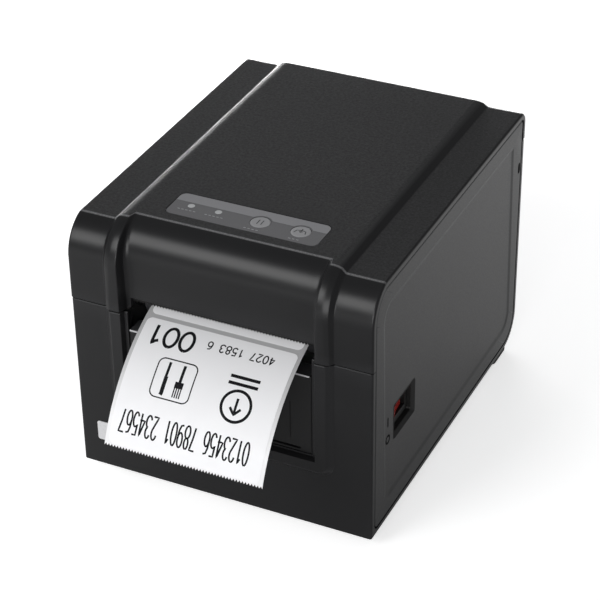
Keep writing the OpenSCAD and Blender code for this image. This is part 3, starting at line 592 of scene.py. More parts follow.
MATERIALS = {
    # the case's third colour is the painted highlight along the front crease
    "case": case_plastic((0.0115, 0.0115, 0.0122), (0.018, 0.018, 0.019), (0.2, 0.2, 0.205)),
    "panel": plastic("panel_plastic", (0.02, 0.02, 0.021), 0.4, 1300.0, 0.000008),
    "insert": plastic("insert_plastic", (0.009, 0.009, 0.0094), 0.4, specular=0.3),
    "well": plastic("well_plastic", (0.007, 0.007, 0.007), 0.5),
    "trim": plastic("light_trim", (0.42, 0.42, 0.43), 0.32),
    "badge": plastic("badge_plate", (0.55, 0.55, 0.56), 0.3, wear=1.1),
    "overlay": plastic("overlay_film", (0.08, 0.08, 0.085), 0.42, 1800.0, 0.000012),
    "band": plastic("overlay_band", (0.19, 0.19, 0.2), 0.42, 1800.0, 0.000012),
    "button": plastic("button_grey", (0.3, 0.3, 0.31), 0.4),
    "glyph": plastic("glyph_ink", (0.03, 0.03, 0.032), 0.5),
    "mark": plastic("mark_ink", (0.26, 0.26, 0.27), 0.5),
    "black_mark": plastic("black_mark_ink", (0.003, 0.003, 0.003), 0.7, specular=0.05),
    "lens": lens("status_lens", (0.8, 0.81, 0.82)),
    "red": plastic("rocker_red", (0.36, 0.014, 0.009), 0.25, wear=1.1),
    "guide": plastic("guide_plastic", (0.028, 0.028, 0.03), 0.45),
    "acetal": plastic("acetal", (0.62, 0.6, 0.52), 0.4, wear=1.05),
    "connector": plastic("connector_black", (0.012, 0.012, 0.012), 0.38),
    "ribbon": plastic("ribbon_cable", (0.6, 0.59, 0.55), 0.4, wear=1.05),
    "foot": rubber("foot_rubber", (0.012, 0.012, 0.012)),
    "platen": rubber("platen_rubber", (0.035, 0.035, 0.038), 0.6),
    "steel": metal("steel", (0.6, 0.6, 0.62)),
    "zinc": metal("zinc_sheet", (0.55, 0.56, 0.58), 0.38, (1, 4, 4)),
    "tear": metal("tear_steel", (0.035, 0.035, 0.035), 0.4),
    "brass": metal("brass", (0.68, 0.5, 0.22)),
    "aluminium": metal("aluminium", (0.7, 0.71, 0.73), 0.33),
    "ceramic": plastic("ceramic", (0.1, 0.1, 0.085), 0.16, wear=1.02),
    "board": board("circuit_board"),
    # the liner and the label are darkened near the slot by painted shade
    "liner": paper("liner_paper", (0.86, 0.86, 0.87), rough=0.38, shade=0.45),
    "label": paper("label_paper", (0.9, 0.9, 0.915), shade=0.85),
    "roll": roll_paper("roll_paper", (0.75, 0.75, 0.75)),
    "card": paper("core_card", (0.36, 0.27, 0.17), 0.00003, 0.8, 0.2),
    "ink": thermal_print("thermal_print"),
}


# --- cover ---
def cover_line(grow, top_grow, back=0.0, up=0.0, lower_edge_z=None, rear_grow=None):
    """Side line (y, z) of the cover from its front seam to its rear seam, drawn out by grow; its front
    stands back and its curve stands up by the given amounts, and its row at lower_edge_z is rounded off."""
    radius = FRONT_R + grow
    rear_grow = grow if rear_grow is None else rear_grow
    centre = (FRONT + FRONT_R + back, WING_TOP - CREASE_DROP + up)
    top = WING_TOP + top_grow
    front = centre[0] - radius
    front_rows = (SEAM_FRONT, SEAM_FRONT + EDGE, FACE_Z, FACE_Z + EDGE, (FACE_Z + centre[1]) / 2, centre[1])
    line = [(front + (EDGE if z == lower_edge_z else 0.0), z) for z in front_rows]
    crease = math.degrees(math.asin((top - centre[1]) / radius))
    corner = (centre[0] - radius * math.cos(math.radians(crease)), top)
    soft = math.degrees(CREASE_SOFT / radius)
    line += arc(centre, radius, 180, 180 - crease + soft, 28)[1:]
    before, after = line[-1], (corner[0] + CREASE_SOFT, top)
    for t in (0.25, 0.5, 0.75, 1.0):
        line.append(mix(mix(before, corner, t), mix(corner, after, t), t))
    flat_start, flat_end = FRONT + FRONT_R + 3, REAR - REAR_R
    line += [(flat_start + (flat_end - flat_start) * k / 8, top) for k in range(9)]
    steps, fade_angle = 14, 40.0
    for k in range(1, steps + 1):
        angle = 90.0 - 90.0 * k / steps
        left = max(0.0, 1 - (90.0 - angle) / fade_angle)
        reach = REAR_R + rear_grow + (top_grow - rear_grow) * smooth(left)
        line += arc((REAR - REAR_R, WING_TOP - REAR_R), reach, angle, angle, 1)[:1]
    y = REAR + rear_grow
    return line + [(y, SEAM_REAR + 2 * EDGE), (y - (EDGE if rear_grow == 0 else 0), SEAM_REAR)]


def side_rounding(half_w):
    """Columns (x, how far in) round the edge at the side of the cover or the base."""
    return arc((half_w - EDGE_R, EDGE_R), EDGE_R, -90, 0, 5)[1:]


def cover_columns():
    """Columns from the middle of the cover outwards: (x at the seam, x at the top, whether it rises from
    the face or from the wing, share of the way up to the rib's crest, how far in from the side)."""
    rise = RAISE + SETBACK
    flat_low = 45.1                                         # half width of the face's flat part at the seam
    fillet_low, fillet_top, fillet_rise = 3.4, 2.2, 2.15    # between the face and the rib's inner wall
    out = [(flat_low * t, FACE_HALF * t, "face", 0.0, 0.0) for t in (0.0, 0.3, 0.6, 0.85, 0.96, 1.0)]
    for t, up in arc((0, 1), 1, -90, 0, 6)[1:]:
        low, high = flat_low + fillet_low * t, FACE_HALF + fillet_top * t
        out.append((low, high, "face", fillet_rise * up / rise, 0.0))
    wall = [(48.9, 49.6, 0.0), (49.5, 50.0, 0.84), (49.75, 50.2, 0.95), (50.2, 50.5, 1.0)]
    out += [(low, high, "face", (SETBACK + RAISE * share) / rise, 0.0) for low, high, share in wall]
    crest = [(52.0, 51.3, 1.0), (54.1, 52.1, 1.0)]
    crest_end, foot = (54.7, 52.7), (RIB_FOOT, RIB_FOOT)
    for t, share in ((0.0, 0.97), (0.08, 0.97), (0.25, 0.91), (0.5, 0.8), (0.58, 0.74), (0.63, 0.68),
                     (0.92, 0.15), (1.0, 0.04), (1.07, 0.0)):
        crest.append((*mix(crest_end, foot, t), share))
    crest += [(x, x, 0.0) for x in (62.0, 68.0, 73.0, HALF_W - EDGE_R)]
    out += [(low, high, "wing", share, 0.0) for low, high, share in crest]
    return out + [(x, x, "wing", 0.0, inwards) for x, inwards in side_rounding(HALF_W)]


def cover_shell():
    half = cover_columns()
    columns = [(-1, column) for column in reversed(half[1:])] + [(1, column) for column in half]
    wings = {column[4]: cover_line(-column[4], -column[4], lower_edge_z=SEAM_FRONT) for column in half}
    rib = cover_line(RAISE, RAISE, lower_edge_z=SEAM_FRONT, rear_grow=0)
    face = cover_line(0, RAISE, SETBACK, RAISE, lower_edge_z=FACE_Z, rear_grow=0)
    inside = {"wing": cover_line(-WALL, -WALL, rear_grow=-WALL),
              "face": cover_line(-WALL, RAISE - WALL, SETBACK, RAISE, rear_grow=-WALL)}
    outer, inner = [], []
    for i, (y, z) in enumerate(wings[0.0]):
        climb = 1.0 if y > FRONT + FRONT_R else max(0.0, (z - SEAM_FRONT) / (WING_TOP - SEAM_FRONT))
        outer.append([])
        inner.append([])
        for side, (x_low, x_high, source, share, inwards) in columns:
            x = side * (x_low + (x_high - x_low) * climb)
            start = face if source == "face" else wings[inwards]
            outer[-1].append((x, *mix(start[i], rib[i], share)))
            inner[-1].append((x, *inside[source][i]))
    open_columns, open_rows = 7, 2      # cells left out over the exit, below the face

    def keep(i, j):
        across = max(j - len(half) + 1, len(half) - 2 - j)
        return i >= open_rows or across >= open_columns

    margin = 0.15
    pocket = rounded((OVERLAY_LO.x - margin, OVERLAY_LO.y - margin),
                     (OVERLAY_HI.x + margin, OVERLAY_HI.y + margin), 3.6)
    cutters = [Solid().prism("z", pocket, [(OVERLAY_LO.z - 0.05, 0), (TOP + CUT, 0)])]
    piece("cover", Solid().shell(outer, inner, keep), "case", "cover", "cover_shell",
          cutters=cutters + control_holes(0.2, 0.05), fittings=cover_fittings())


def control_holes(button_gap, lens_gap):
    """Cutters through the top for the two buttons and the two lenses."""
    rounds = [(key.x, key.y, BUTTON_R + button_gap, 48) for key in (PAUSE, FEED)]
    rounds += [(x, LENS_Y, LENS_R + lens_gap, 24) for x in LENS_X]
    return [Solid().turned("z", (x, y, TOP), [(-CUT, r), (CUT, r)], steps) for x, y, r, steps in rounds]


def cover_fittings():
    """Hinge knuckles and the posts that the button board hangs from."""
    half = KNUCKLE_W / 2
    solid = Solid()
    for x in (-KNUCKLE_X, KNUCKLE_X):
        solid.turned("x", (x, HINGE.y, HINGE.z), rod(-half, half, KNUCKLE_R))
        solid.block((x - half, REAR - WALL, HINGE.z), (x + half, REAR, SEAM_REAR + 1))
    post_x, post_r, board_t = 36.0, 2.5, 1.6
    board_top = box_mm("button_board")[0].z + board_t
    for x in (-post_x, post_x):
        solid.turned("z", (x, PAUSE.y, 0), [(board_top, post_r), (TOP - WALL + 0.5, post_r)], 24)
    return solid


# --- base ---
def toe_reach(inwards):
    """How far back the lower front corner's centre is, on a line drawn in from the case's outline."""
    return TOE_R if inwards < 1 + EDGE_R else inwards + INNER_R


def base_line(inwards):
    """Side line (y, z) of the base from its front seam round the underside to its rear seam."""
    i = INSET + inwards
    edge = EDGE if inwards < WALL else 0.0
    y = FRONT + i
    line = [(y + edge, BASE_TOP)]
    line += [(y, z) for z in (BASE_TOP - EDGE, LIP_HI.z, INSERT_LO.z, FRAME_Z, BOTTOM + 14)]
    toe = toe_reach(i)
    line += arc((FRONT + toe, BOTTOM + toe), toe - i, 180, 270, 8)
    start, end = FRONT + toe, REAR - HEEL_R
    line += [(start + (end - start) * k / 6, BOTTOM + i) for k in range(1, 6)]
    line += arc((end, BOTTOM + HEEL_R), HEEL_R - i, -90, 0, 16)
    y = REAR - i
    rear_top = SEAM_REAR - REAR_GAP
    notch_z = HINGE.z - KNUCKLE_R - 1.2
    between = (40.0, 70.0)          # rows that keep the faces of the tall rear wall even
    return line + [(y, z) for z in (*between, notch_z, rear_top - EDGE)] + [(y - edge, rear_top)]


def base_shell():
    notch = (KNUCKLE_X - KNUCKLE_W / 2 - GAP, KNUCKLE_X + KNUCKLE_W / 2 + GAP)
    half = [(x, 0.0) for x in (0, 20, notch[0], FACE_HALF, 55, notch[1], 70, SIDE - EDGE_R)]
    half += side_rounding(SIDE)
    columns = [(-x, inwards) for x, inwards in reversed(half[1:])] + half
    lines = {inwards: base_line(inwards) for _, inwards in half}
    inside = base_line(WALL)
    count = len(inside)
    outer = [[(x, *lines[inwards][i]) for x, inwards in columns] for i in range(count)]
    inner = [[(x, *inside[i]) for x, _ in columns] for i in range(count)]

    def keep(i, j):
        x0, x1 = sorted((abs(columns[j][0]), abs(columns[j + 1][0])))
        in_window = x1 <= FACE_HALF and i < 3
        in_notch = x0 >= notch[0] - 0.01 and x1 <= notch[1] + 0.01 and i >= count - 3
        return not (in_window or in_notch)

    cutters = []
    margin = 0.5
    for node in ("power_jack", "usb_port", "serial_port"):
        lo, hi = box_mm(node)
        cutters.append(Solid().block((lo.x - margin, hi.y - CUT, lo.z - margin),
                                     (hi.x + margin, REAR + CUT, hi.z + margin), 0.2))
    fittings = Solid()
    add_front_frame(fittings)
    add_base_fittings(fittings)
    piece("base", Solid().shell(outer, inner, keep), "case", "base", "base_shell",
          cutters=cutters, fittings=fittings)


def frame_line(d):
    """The raised frame's U shape (x, z), down one side and up the other, drawn in by d."""
    deeper = max(0.0, d - FRAME_R)
    centre = (RIB_FOOT - FRAME_R - deeper, FRAME_Z + FRAME_R + deeper)
    half = [(0.0, FRAME_Z + d)] + arc(centre, max(0.0, FRAME_R - d), 270, 360, 10)
    half += [(RIB_FOOT - d, z) for z in (60.0, BASE_TOP - EDGE, BASE_TOP)]
    return [(-x, z) for x, z in reversed(half[1:])] + half


def add_front_frame(solid):
    """Frame with a bevelled outer edge that carries the ribs down the base."""
    proud = FRONT - RAISE
    foot = FRONT + INSET
    section = [(0.0, foot + 1.0), (0.0, foot - 0.05), (0.26, proud + 0.25), (0.3, proud), (0.34, proud),
               (0.74, proud), (0.78, proud + 0.1), (0.8, proud + 0.45), (0.87, FRONT + 0.6),
               (0.92, FRONT + 1.1), (1.0, FRONT + 1.5), (1.0, foot + 2.0)]
    lines = [frame_line(share * FRAME_W) for share, _ in section]
    last = len(lines[0]) - 1
    rings = []
    for k in range(last + 1):
        edge = EDGE if k in (0, last) else 0.0
        rings.append([(line[k][0], y + (edge if y < FRONT else 0.0), line[k][1])
                      for line, (_, y) in zip(lines, section)])
    solid.loft(rings)


def add_base_fittings(solid):
    """Hinge lugs, screw posts and the spindle of the centring pinion."""
    lug_half, lug_drop = 3.0, 14.0
    for x in (-KNUCKLE_X, KNUCKLE_X):
        for side in (-1, 1):
            lug_x = x + side * (KNUCKLE_W / 2 + GAP + lug_half)
            solid.block((lug_x - lug_half, HINGE.y - KNUCKLE_R, HINGE.z - lug_drop),
                        (lug_x + lug_half, REAR - INSET - 1, HINGE.z + KNUCKLE_R), 0.4)
    foot = WALL - 0.5               # the posts start inside the floor
    post = [(foot, 4.5), (WALL + 8.6, 4.5), (WALL + 9, 4.1)]
    for x in (SCREW_LO.x + SCREW_HEAD_R, SCREW_HI.x - SCREW_HEAD_R):
        for y in (SCREW_LO.y + SCREW_HEAD_R, SCREW_HI.y - SCREW_HEAD_R):
            solid.turned("z", (x, y, 0), post, 32)
    x, y, _ = middle("guide_pinion")
    solid.turned("z", (x, y, 0), [(foot, 2.5), (WALL + 4.8, 2.5), (WALL + 5, 2.3)], 32)


# --- side panels and power switch ---
def case_ring(i, steps=14):
    """Side outline of the whole case (y, z), anticlockwise seen from +X, drawn in by i."""
    crease = math.degrees(math.asin((CREASE_DROP - i) / (FRONT_R - i)))
    toe = toe_reach(i)
    out = arc((FRONT + toe, BOTTOM + toe), toe - i, 180, 270, steps)
    out += arc((REAR - HEEL_R, BOTTOM + HEEL_R), HEEL_R - i, -90, 0, steps)
    out += arc((REAR - REAR_R, WING_TOP - REAR_R), max(0.5, REAR_R - i), 0, 90, steps)
    return out + arc((FRONT + FRONT_R, WING_TOP - CREASE_DROP), FRONT_R - i, 180 - crease, 180, 2 * steps)


def panel_rings(side):
    """Rings from the panel's inner face, round its edge, to the sunk field in its outer face."""
    outline = case_ring(INSET + WALL + GAP)
    centre = ((FRONT + REAR) / 2, (BOTTOM + WING_TOP) / 2)
    rings = [(WALL, outline), (0.7, outline), (0.2, offset(outline, 0.2)), (0.0, offset(outline, 0.7))]
    field_depth, field_soft, field_r = 0.5, 3.0, 9.0
    front_in, rear_in, height_in = 13.0, 12.2, 13.5
    for k in range(7):
        t = k / 6
        d = field_soft * (t - 0.5)
        field = rounded((FRONT + front_in + d, BOTTOM + height_in + d),
                        (REAR - rear_in - d, WING_TOP - height_in - d), field_r - d, 14)
        flat = match_ring(field, outline, centre)
        rings.append((field_depth * smooth(t), flat))
    for share in (0.012, 0.2, 0.6, 0.9):
        rings.append((field_depth, [mix(p, centre, share) for p in flat]))
    return [[(side * (SIDE - sink), y, z) for y, z in ring] for sink, ring in rings]


def well_outline(near, far, radius=1.2):
    """Outline of the switch's well, drawn in by near on its front and top, by far on its rear and bottom."""
    return rounded((SWITCH.y - WELL_HALF_W + near, SWITCH.z - WELL_HALF_H + far),
                   (SWITCH.y + WELL_HALF_W - far, SWITCH.z + WELL_HALF_H - near), radius, 4)


def side_panels():
    through = (HALF_W - CUT, HALF_W + CUT)
    oval_r = 1.5
    oval = arc((HINGE.y - oval_r, HINGE.z + oval_r), oval_r, 0, 180, 10)
    oval += arc((HINGE.y - oval_r, HINGE.z - oval_r), oval_r, 180, 360, 10)
    for side, name in ((-1, "left"), (1, "right")):
        cutters = [Solid().prism("x", oval, [(side * x, 0) for x in through])]
        if side > 0:
            cutters.append(Solid().prism("x", well_outline(0, 0), [(x, 0) for x in through]))
        piece(name + "_panel", Solid().loft(panel_rings(side)), "panel", "base",
              name + "_side_panel", cutters=cutters, sharp=25)


def switch_well():
    """Dark tray behind the right panel, with sloped lips on its rear and lower sides."""
    x_out, x_floor = SIDE - 0.35, SIDE - WELL_DEPTH
    outer = well_outline(-1.5, -1.5, 2.5)
    rings = [(x_floor - 1.5, outer), (x_out - 3, outer)]
    for x, near, far in ((x_out - 3, 0.02, 0.02), (x_out, 0.02, 0.02), (x_out, 0.3, 0.3),
                         (x_out - 1.6, 0.5, 1.7), (x_floor, 0.6, 2.0)):
        rings.append((x, well_outline(near, far)))
    tray = Solid().loft([[(x, y, z) for y, z in ring] for x, ring in rings])
    half_y, half_z = 9.5, 6.5
    bay = Solid().block((x_floor - 6, SWITCH.y - half_y, SWITCH.z - half_z),
                        (x_floor + 1, SWITCH.y + half_y, SWITCH.z + half_z), 0.2)
    piece("switch_well", tray, "well", "base", cutters=[bay])


def switch_marks():
    """Two small generic marks beside the switch, one above the other: a bar for on and a ring for off."""
    x, raised = SIDE - 0.48, 0.05
    y = FRONT + 19.0
    rings = []
    for r, h in ((2.5, 0), (2.5, raised), (1.5, raised), (1.5, 0)):
        rings.append([(x + h, *p) for p in arc((y, SWITCH.z - 5), r, 0, 360, 28)[:-1]])
    solid = Solid().loft(rings, closed=True)
    solid.block((x, y - 0.5, SWITCH.z + 2.2), (x + raised, y + 0.5, SWITCH.z + 7.2), 0.02)
    piece("switch_marks", solid, "black_mark", "base")


def rocker():
    """Red rocker with two thumb faces; its front half stands up."""
    lo, hi = box_mm("power_rocker")
    joint = next(j for j in frame["joints"] if j["name"] == "rocker_tip")
    pivot = Vector(joint["pos_m"]) / MM
    outline = [(-2.0, -4.0), (5.8, -6.6), (5.9, -6.1), (5.0, -3.0), (4.3, -0.4), (4.1, 0.4), (3.8, 3.0),
               (3.6, 6.1), (3.5, 6.6), (-2.0, 4.0)]
    rings = []
    ends = [(0.5, 0.0), (0.15, 0.15), (0.0, 0.5)]       # (how far drawn in, distance from the end)
    for d, z in [(d, lo.z + up) for d, up in ends] + [(d, hi.z - down) for d, down in reversed(ends)]:
        rings.append([(pivot.x + a - d * (a > 0), pivot.y + b * (1 - d / 8), z) for a, b in outline])
    solid = Solid().loft(rings).turned("z", (pivot.x, pivot.y, 0), rod(lo.z, hi.z, 2.6), 32)
    piece("rocker", solid, "red", "rocker", "power_rocker")


# --- front of the base ---
def front_insert():
    """Panel under the exit, with a shallow slot line near its foot and grooves up its sides."""
    lo, hi = INSERT_LO, INSERT_HI
    face = FRONT + 0.2
    groove_x, groove_w = 36.0, 0.7
    cutters = []
    for x in (-groove_x, groove_x):
        cutters.append(Solid().block((x - groove_w / 2, face - 2, lo.z + 7),
                                     (x + groove_w / 2, face + 0.35, hi.z - 16), 0.25))
    slot_x = groove_x + 5
    cutters.append(Solid().block((-slot_x, face - 2, lo.z + 1.6), (slot_x, face + 1.4, lo.z + 3.0)))
    panel = Solid().block((lo.x, face, lo.z), (hi.x, FRONT + WALL, hi.z), 0.9)
    piece("front_insert_panel", panel, "insert", "base", "front_insert", cutters=cutters)


def exit_lip():
    """Dark guide over the insert, with a bright strip along its front edge."""
    lo, hi = LIP_LO, LIP_HI
    lip = Solid()
    lip.block((INSERT_LO.x, FRONT + WALL, INSERT_HI.z - 3), (INSERT_HI.x, INSERT_HI.y, INSERT_HI.z - 0.8))
    lip.block((lo.x, FRONT - 0.2, lo.z), (hi.x, hi.y, hi.z), 0.25)
    lip.block((lo.x, FRONT - 0.45, hi.z - 0.9), (hi.x, FRONT + 0.1, hi.z - 0.1), 0.15, slot=1)
    piece("exit_lip", lip, "guide trim", "base", "exit_guide")


def badge():
    lo, hi = box_mm("badge_plate")
    outline = rounded((lo.x, lo.z), (hi.x, hi.z), 1.2)
    plate = Solid().prism("y", outline, [(hi.y, 0), (lo.y + 0.2, 0), (lo.y, 0.25)])
    piece("badge", plate, "badge", "base", "badge_plate")


# --- controls ---
def control_overlay():
    """Printed film in the top's pocket."""
    lo, hi = OVERLAY_LO, OVERLAY_HI
    outline = rounded((lo.x + 0.15, lo.y + 0.15), (hi.x - 0.15, hi.y - 0.15), 3.4, 8)
    film = Solid().prism("z", outline, [(lo.z, 0), (FILM_TOP - 0.1, 0), (FILM_TOP, 0.1)])
    piece("overlay", film, "overlay", "cover", "control_overlay",
          cutters=control_holes(0.12, 0.02))


def overlay_band():
    """The film's lighter rear band, with an arc round the back of each button."""
    edge_y = FRONT + 36.2
    clear = BUTTON_R + 0.75
    lo_x, hi_x, hi_y = OVERLAY_LO.x + 0.3, OVERLAY_HI.x - 0.3, OVERLAY_HI.y - 0.3
    corner_r = 3.3
    line = [(lo_x, edge_y)]
    for key in (PAUSE, FEED):
        start = math.degrees(math.asin((edge_y - key.y) / clear))
        line += arc((key.x, key.y), clear, 180 - start, start, 14)
    line.append((hi_x, edge_y))
    line += arc((hi_x - corner_r, hi_y - corner_r), corner_r, 0, 90, 8)
    line += arc((lo_x + corner_r, hi_y - corner_r), corner_r, 90, 180, 8)
    band = Solid().loft([[(x, y, z) for x, y in line] for z in (FILM_TOP - 0.03, FILM_TOP + 0.03)])
    piece("overlay_band", band, "band", "cover")


def add_stroke(solid, points, width, place, slot=0):
    """A thin raised line, in stretches short enough to follow a curve; place(u, v, side) puts its points
    in space, above the surface for side 1 and below it for side -1."""
    longest = 1.2
    line = [points[0]]
    for a, b in zip(points, points[1:]):
        parts = math.ceil(math.dist(a, b) / longest)
        line += [mix(a, b, k / parts) for k in range(1, parts + 1)]
    rings = []
    for k, (u, v) in enumerate(line):
        before, after = line[max(0, k - 1)], line[min(len(line) - 1, k + 1)]
        along = (Vector(after) - Vector(before)).normalized() * (width / 2)
        left, right = (u - along.y, v + along.x), (u + along.y, v - along.x)
        rings.append([place(*left, -1), place(*left, 1), place(*right, 1), place(*right, -1)])
    solid.loft(rings, slot=slot)


def on_level(x, y, z, half):
    """Place function for strokes on a level face, reaching half above and below it."""
    return lambda u, v, side: (x + u, y + v, z + half * side)


def overlay_marks():
    """Short dashes where a maker would print names, under the lenses and the buttons."""
    solid = Solid()
    lens_y, key_y = LENS_Y - 4.2, LENS_Y - 7.4
    dash, pitch = 1.2, 2.0
    rows = [(x, lens_y, 5) for x in LENS_X] + [(PAUSE.x - 1.0, key_y, 4), (FEED.x, key_y, 3)]
    for x, y, count in rows:
        for k in range(count):
            start = x + (k - count / 2) * pitch
            add_stroke(solid, [(start, y), (start + dash, y)], 0.5, on_level(0, 0, FILM_TOP, 0.02))
    piece("overlay_marks", solid, "mark", "cover")


def button(name, node, body, glyph):
    """Round key with a soft rim, sitting a little below the film, and the strokes of its glyph."""
    centre = middle(node)
    low = box_mm(node)[0].z
    top = TOP - 0.1
    ceiling = TOP - WALL
    stem, flange = 1.5, BUTTON_R + 1.1
    line = [(low, stem - 0.2), (low + 0.2, stem), (ceiling - 1.1, stem), (ceiling - 1.1, flange),
            (ceiling - 0.2, flange), (ceiling - 0.1, flange - 0.1), (ceiling - 0.1, BUTTON_R - 0.02)]
    line += [(top - down, BUTTON_R - d) for down, d in ((0.35, 0.02), (0.1, 0.12), (0.0, 0.4), (0.0, 1.2))]
    solid = Solid().turned("z", (centre.x, centre.y, 0), line, 64)
    for points, width in glyph:
        add_stroke(solid, points, width, on_level(centre.x, centre.y, top, 0.03), 1)
    piece(name, solid, "button glyph", body, node)


def buttons():
    pause = [([(x, -1.9), (x, 1.9)], 0.5) for x in (-1.0, 1.0)]
    feed = [([(-2.8, -1.6), (-2.2, 0.6), (-0.9, 0.9)], 0.5), ([(-0.9, 0.9), (0.9, 0.9)], 0.5),
            ([(0.9, 0.9), (2.2, 0.6), (2.8, -1.6)], 0.5), ([(0.0, 2.4), (0.0, -0.6)], 0.5),
            ([(-0.9, 0.1), (0.0, -0.8), (0.9, 0.1)], 0.45)]
    button("pause_key_cap", "pause_button", "pause_key", pause)
    button("feed_key_cap", "feed_button", "feed_key", feed)


def lenses():
    solid = Solid()
    line = [(LENS_LO.z, LENS_R - 0.1), (TOP - 0.3, LENS_R - 0.02), (TOP - 0.1, LENS_R - 0.02),
            (TOP - 0.1, LENS_CAP_R), (TOP - 0.03, LENS_CAP_R - 0.1), (TOP - 0.01, 0.2)]
    for x in LENS_X:
        solid.turned("z", (x, LENS_Y, 0), line, 32)
    piece("lenses", solid, "lens", "cover", "status_lenses")


# --- label ---
def along_curl(degrees):
    """Length of paper that covers an angle of the curl."""
    return math.radians(degrees) * CURL_R


def on_curl(x, v, h):
    """Point on the fed-out label: v past the tear bar, h above the liner's lower face."""
    angle = math.radians(EXIT_NORMAL) + max(v, 0) / CURL_R
    r = CURL_R + h
    behind = BACK * max(-v, 0)
    return (x, CURL_C.x + r * math.cos(angle) + behind.x, CURL_C.y + r * math.sin(angle) + behind.y)


def curl_rows(columns, steps, h):
    """Rows of points on the curl at height h; each column is (x, where it starts, where it ends)."""
    return [[on_curl(x, v0 + (v1 - v0) * k / steps, h) for x, v0, v1 in columns] for k in range(steps + 1)]


def liner():
    """The liner from the roll over the platen and out, its end torn by the serrated bar."""
    count, tooth = 106, 1.1
    gap = Vector((ROLL.y - PLATEN.y, ROLL.z - PLATEN.z))
    normal = math.degrees(math.atan2(gap.y, gap.x) + math.acos((PLATEN_R - ROLL_R) / gap.length))
    end = along_curl(CURL_SWEEP)
    columns = []
    for k in range(count + 1):
        columns.append((LINER_LO.x + (LINER_HI.x - LINER_LO.x) * k / count, 0.0, end - tooth * (k % 2)))
    grids = []
    for h in (PAPER_T, 0.0):
        line = arc((ROLL.y, ROLL.z), ROLL_R + WEB_GAP + h, normal, normal, 1)[:1]
        line += arc((PLATEN.y, PLATEN.z), PLATEN_R + WEB_GAP + h, normal, EXIT_NORMAL, 6)
        grids.append([[(x, y, z) for x, _, _ in columns] for y, z in line] + curl_rows(columns, 44, h))
    piece("liner", Solid().shell(*grids), "liner", "base", "label_web", sharp=50)


def label_sheet(name, node, start, end, square_start=False):
    """A label on the liner with rounded corners, bent to the curl."""
    radius = 2.6
    x0, x1 = LABEL_LO.x, LABEL_HI.x
    corner = [(radius - a, radius - b) for a, b in arc((0, 0), radius, 0, 90, 8)]
    ends = [(x0 + dx, dv) for dx, dv in corner]
    ends += [(x0 + (x1 - x0) * t, 0.0) for t in (0.25, 0.5, 0.75)]
    ends += [(x1 - dx, dv) for dx, dv in reversed(corner)]
    columns = [(x, start + (0.0 if square_start else dv), end - dv) for x, dv in ends]
    low = PAPER_T + LABEL_LIFT
    sheet = Solid().shell(curl_rows(columns, 40, low + LABEL_T), curl_rows(columns, 40, low))
    piece(name, sheet, "label", "base", node, sharp=50)


# --- print on the label ---
def ellipse(cx, cy, rx, ry, start, end, steps=16):
    return [(cx + rx * a, cy + ry * b) for a, b in arc((0, 0), 1, start, end, steps)]


DIGITS = [      # strokes of each digit, 0.56 wide and 1 high
    [ellipse(0.28, 0.5, 0.28, 0.5, 90, 450, 32)],
    [[(0.06, 0.78), (0.18, 0.84), (0.3, 1.0), (0.3, 0.0)]],
    [ellipse(0.28, 0.73, 0.27, 0.27, 170, -35, 14) + [(0.02, 0.0), (0.56, 0.0)]],
    [ellipse(0.27, 0.75, 0.24, 0.25, 160, -80, 14) + ellipse(0.27, 0.27, 0.29, 0.27, 80, -160, 14)],
    [[(0.56, 0.3), (0.0, 0.3), (0.42, 1.0), (0.42, 0.0)]],
    [[(0.52, 1.0), (0.1, 1.0), (0.04, 0.52)] + ellipse(0.27, 0.32, 0.28, 0.32, 125, -150)],
    [ellipse(0.28, 0.32, 0.27, 0.32, 180, 540, 24), [(0.01, 0.34), (0.06, 0.72), (0.2, 0.94), (0.48, 0.98)]],
    [[(0.0, 1.0), (0.56, 1.0), (0.34, 0.5), (0.22, 0.0)]],
    [ellipse(0.28, 0.76, 0.22, 0.24, 90, 450, 24), ellipse(0.28, 0.26, 0.28, 0.27, 90, 450, 24)],
    [ellipse(0.28, 0.68, 0.27, 0.32, 0, 360, 24), [(0.55, 0.66), (0.5, 0.28), (0.36, 0.06), (0.08, 0.02)]],
]


def on_label(u, v, side):
    """Print lies on the label's face; side is 1 for its top and -1 for its underside."""
    return on_curl(u, v, PAPER_T + LABEL_LIFT + LABEL_T + PRINT_H * side)


def add_digits(solid, numbers, right, v, height, advance, width, narrow=1.0):
    """A row of digits and spaces, upside down to the person in front, running left from x = right."""
    for k, character in enumerate(numbers):
        if character == " ":
            continue
        for points in DIGITS[int(character)]:
            shape = [(right - k * advance - a * height * narrow, v + b * height) for a, b in points]
            add_stroke(solid, shape, width, on_label)


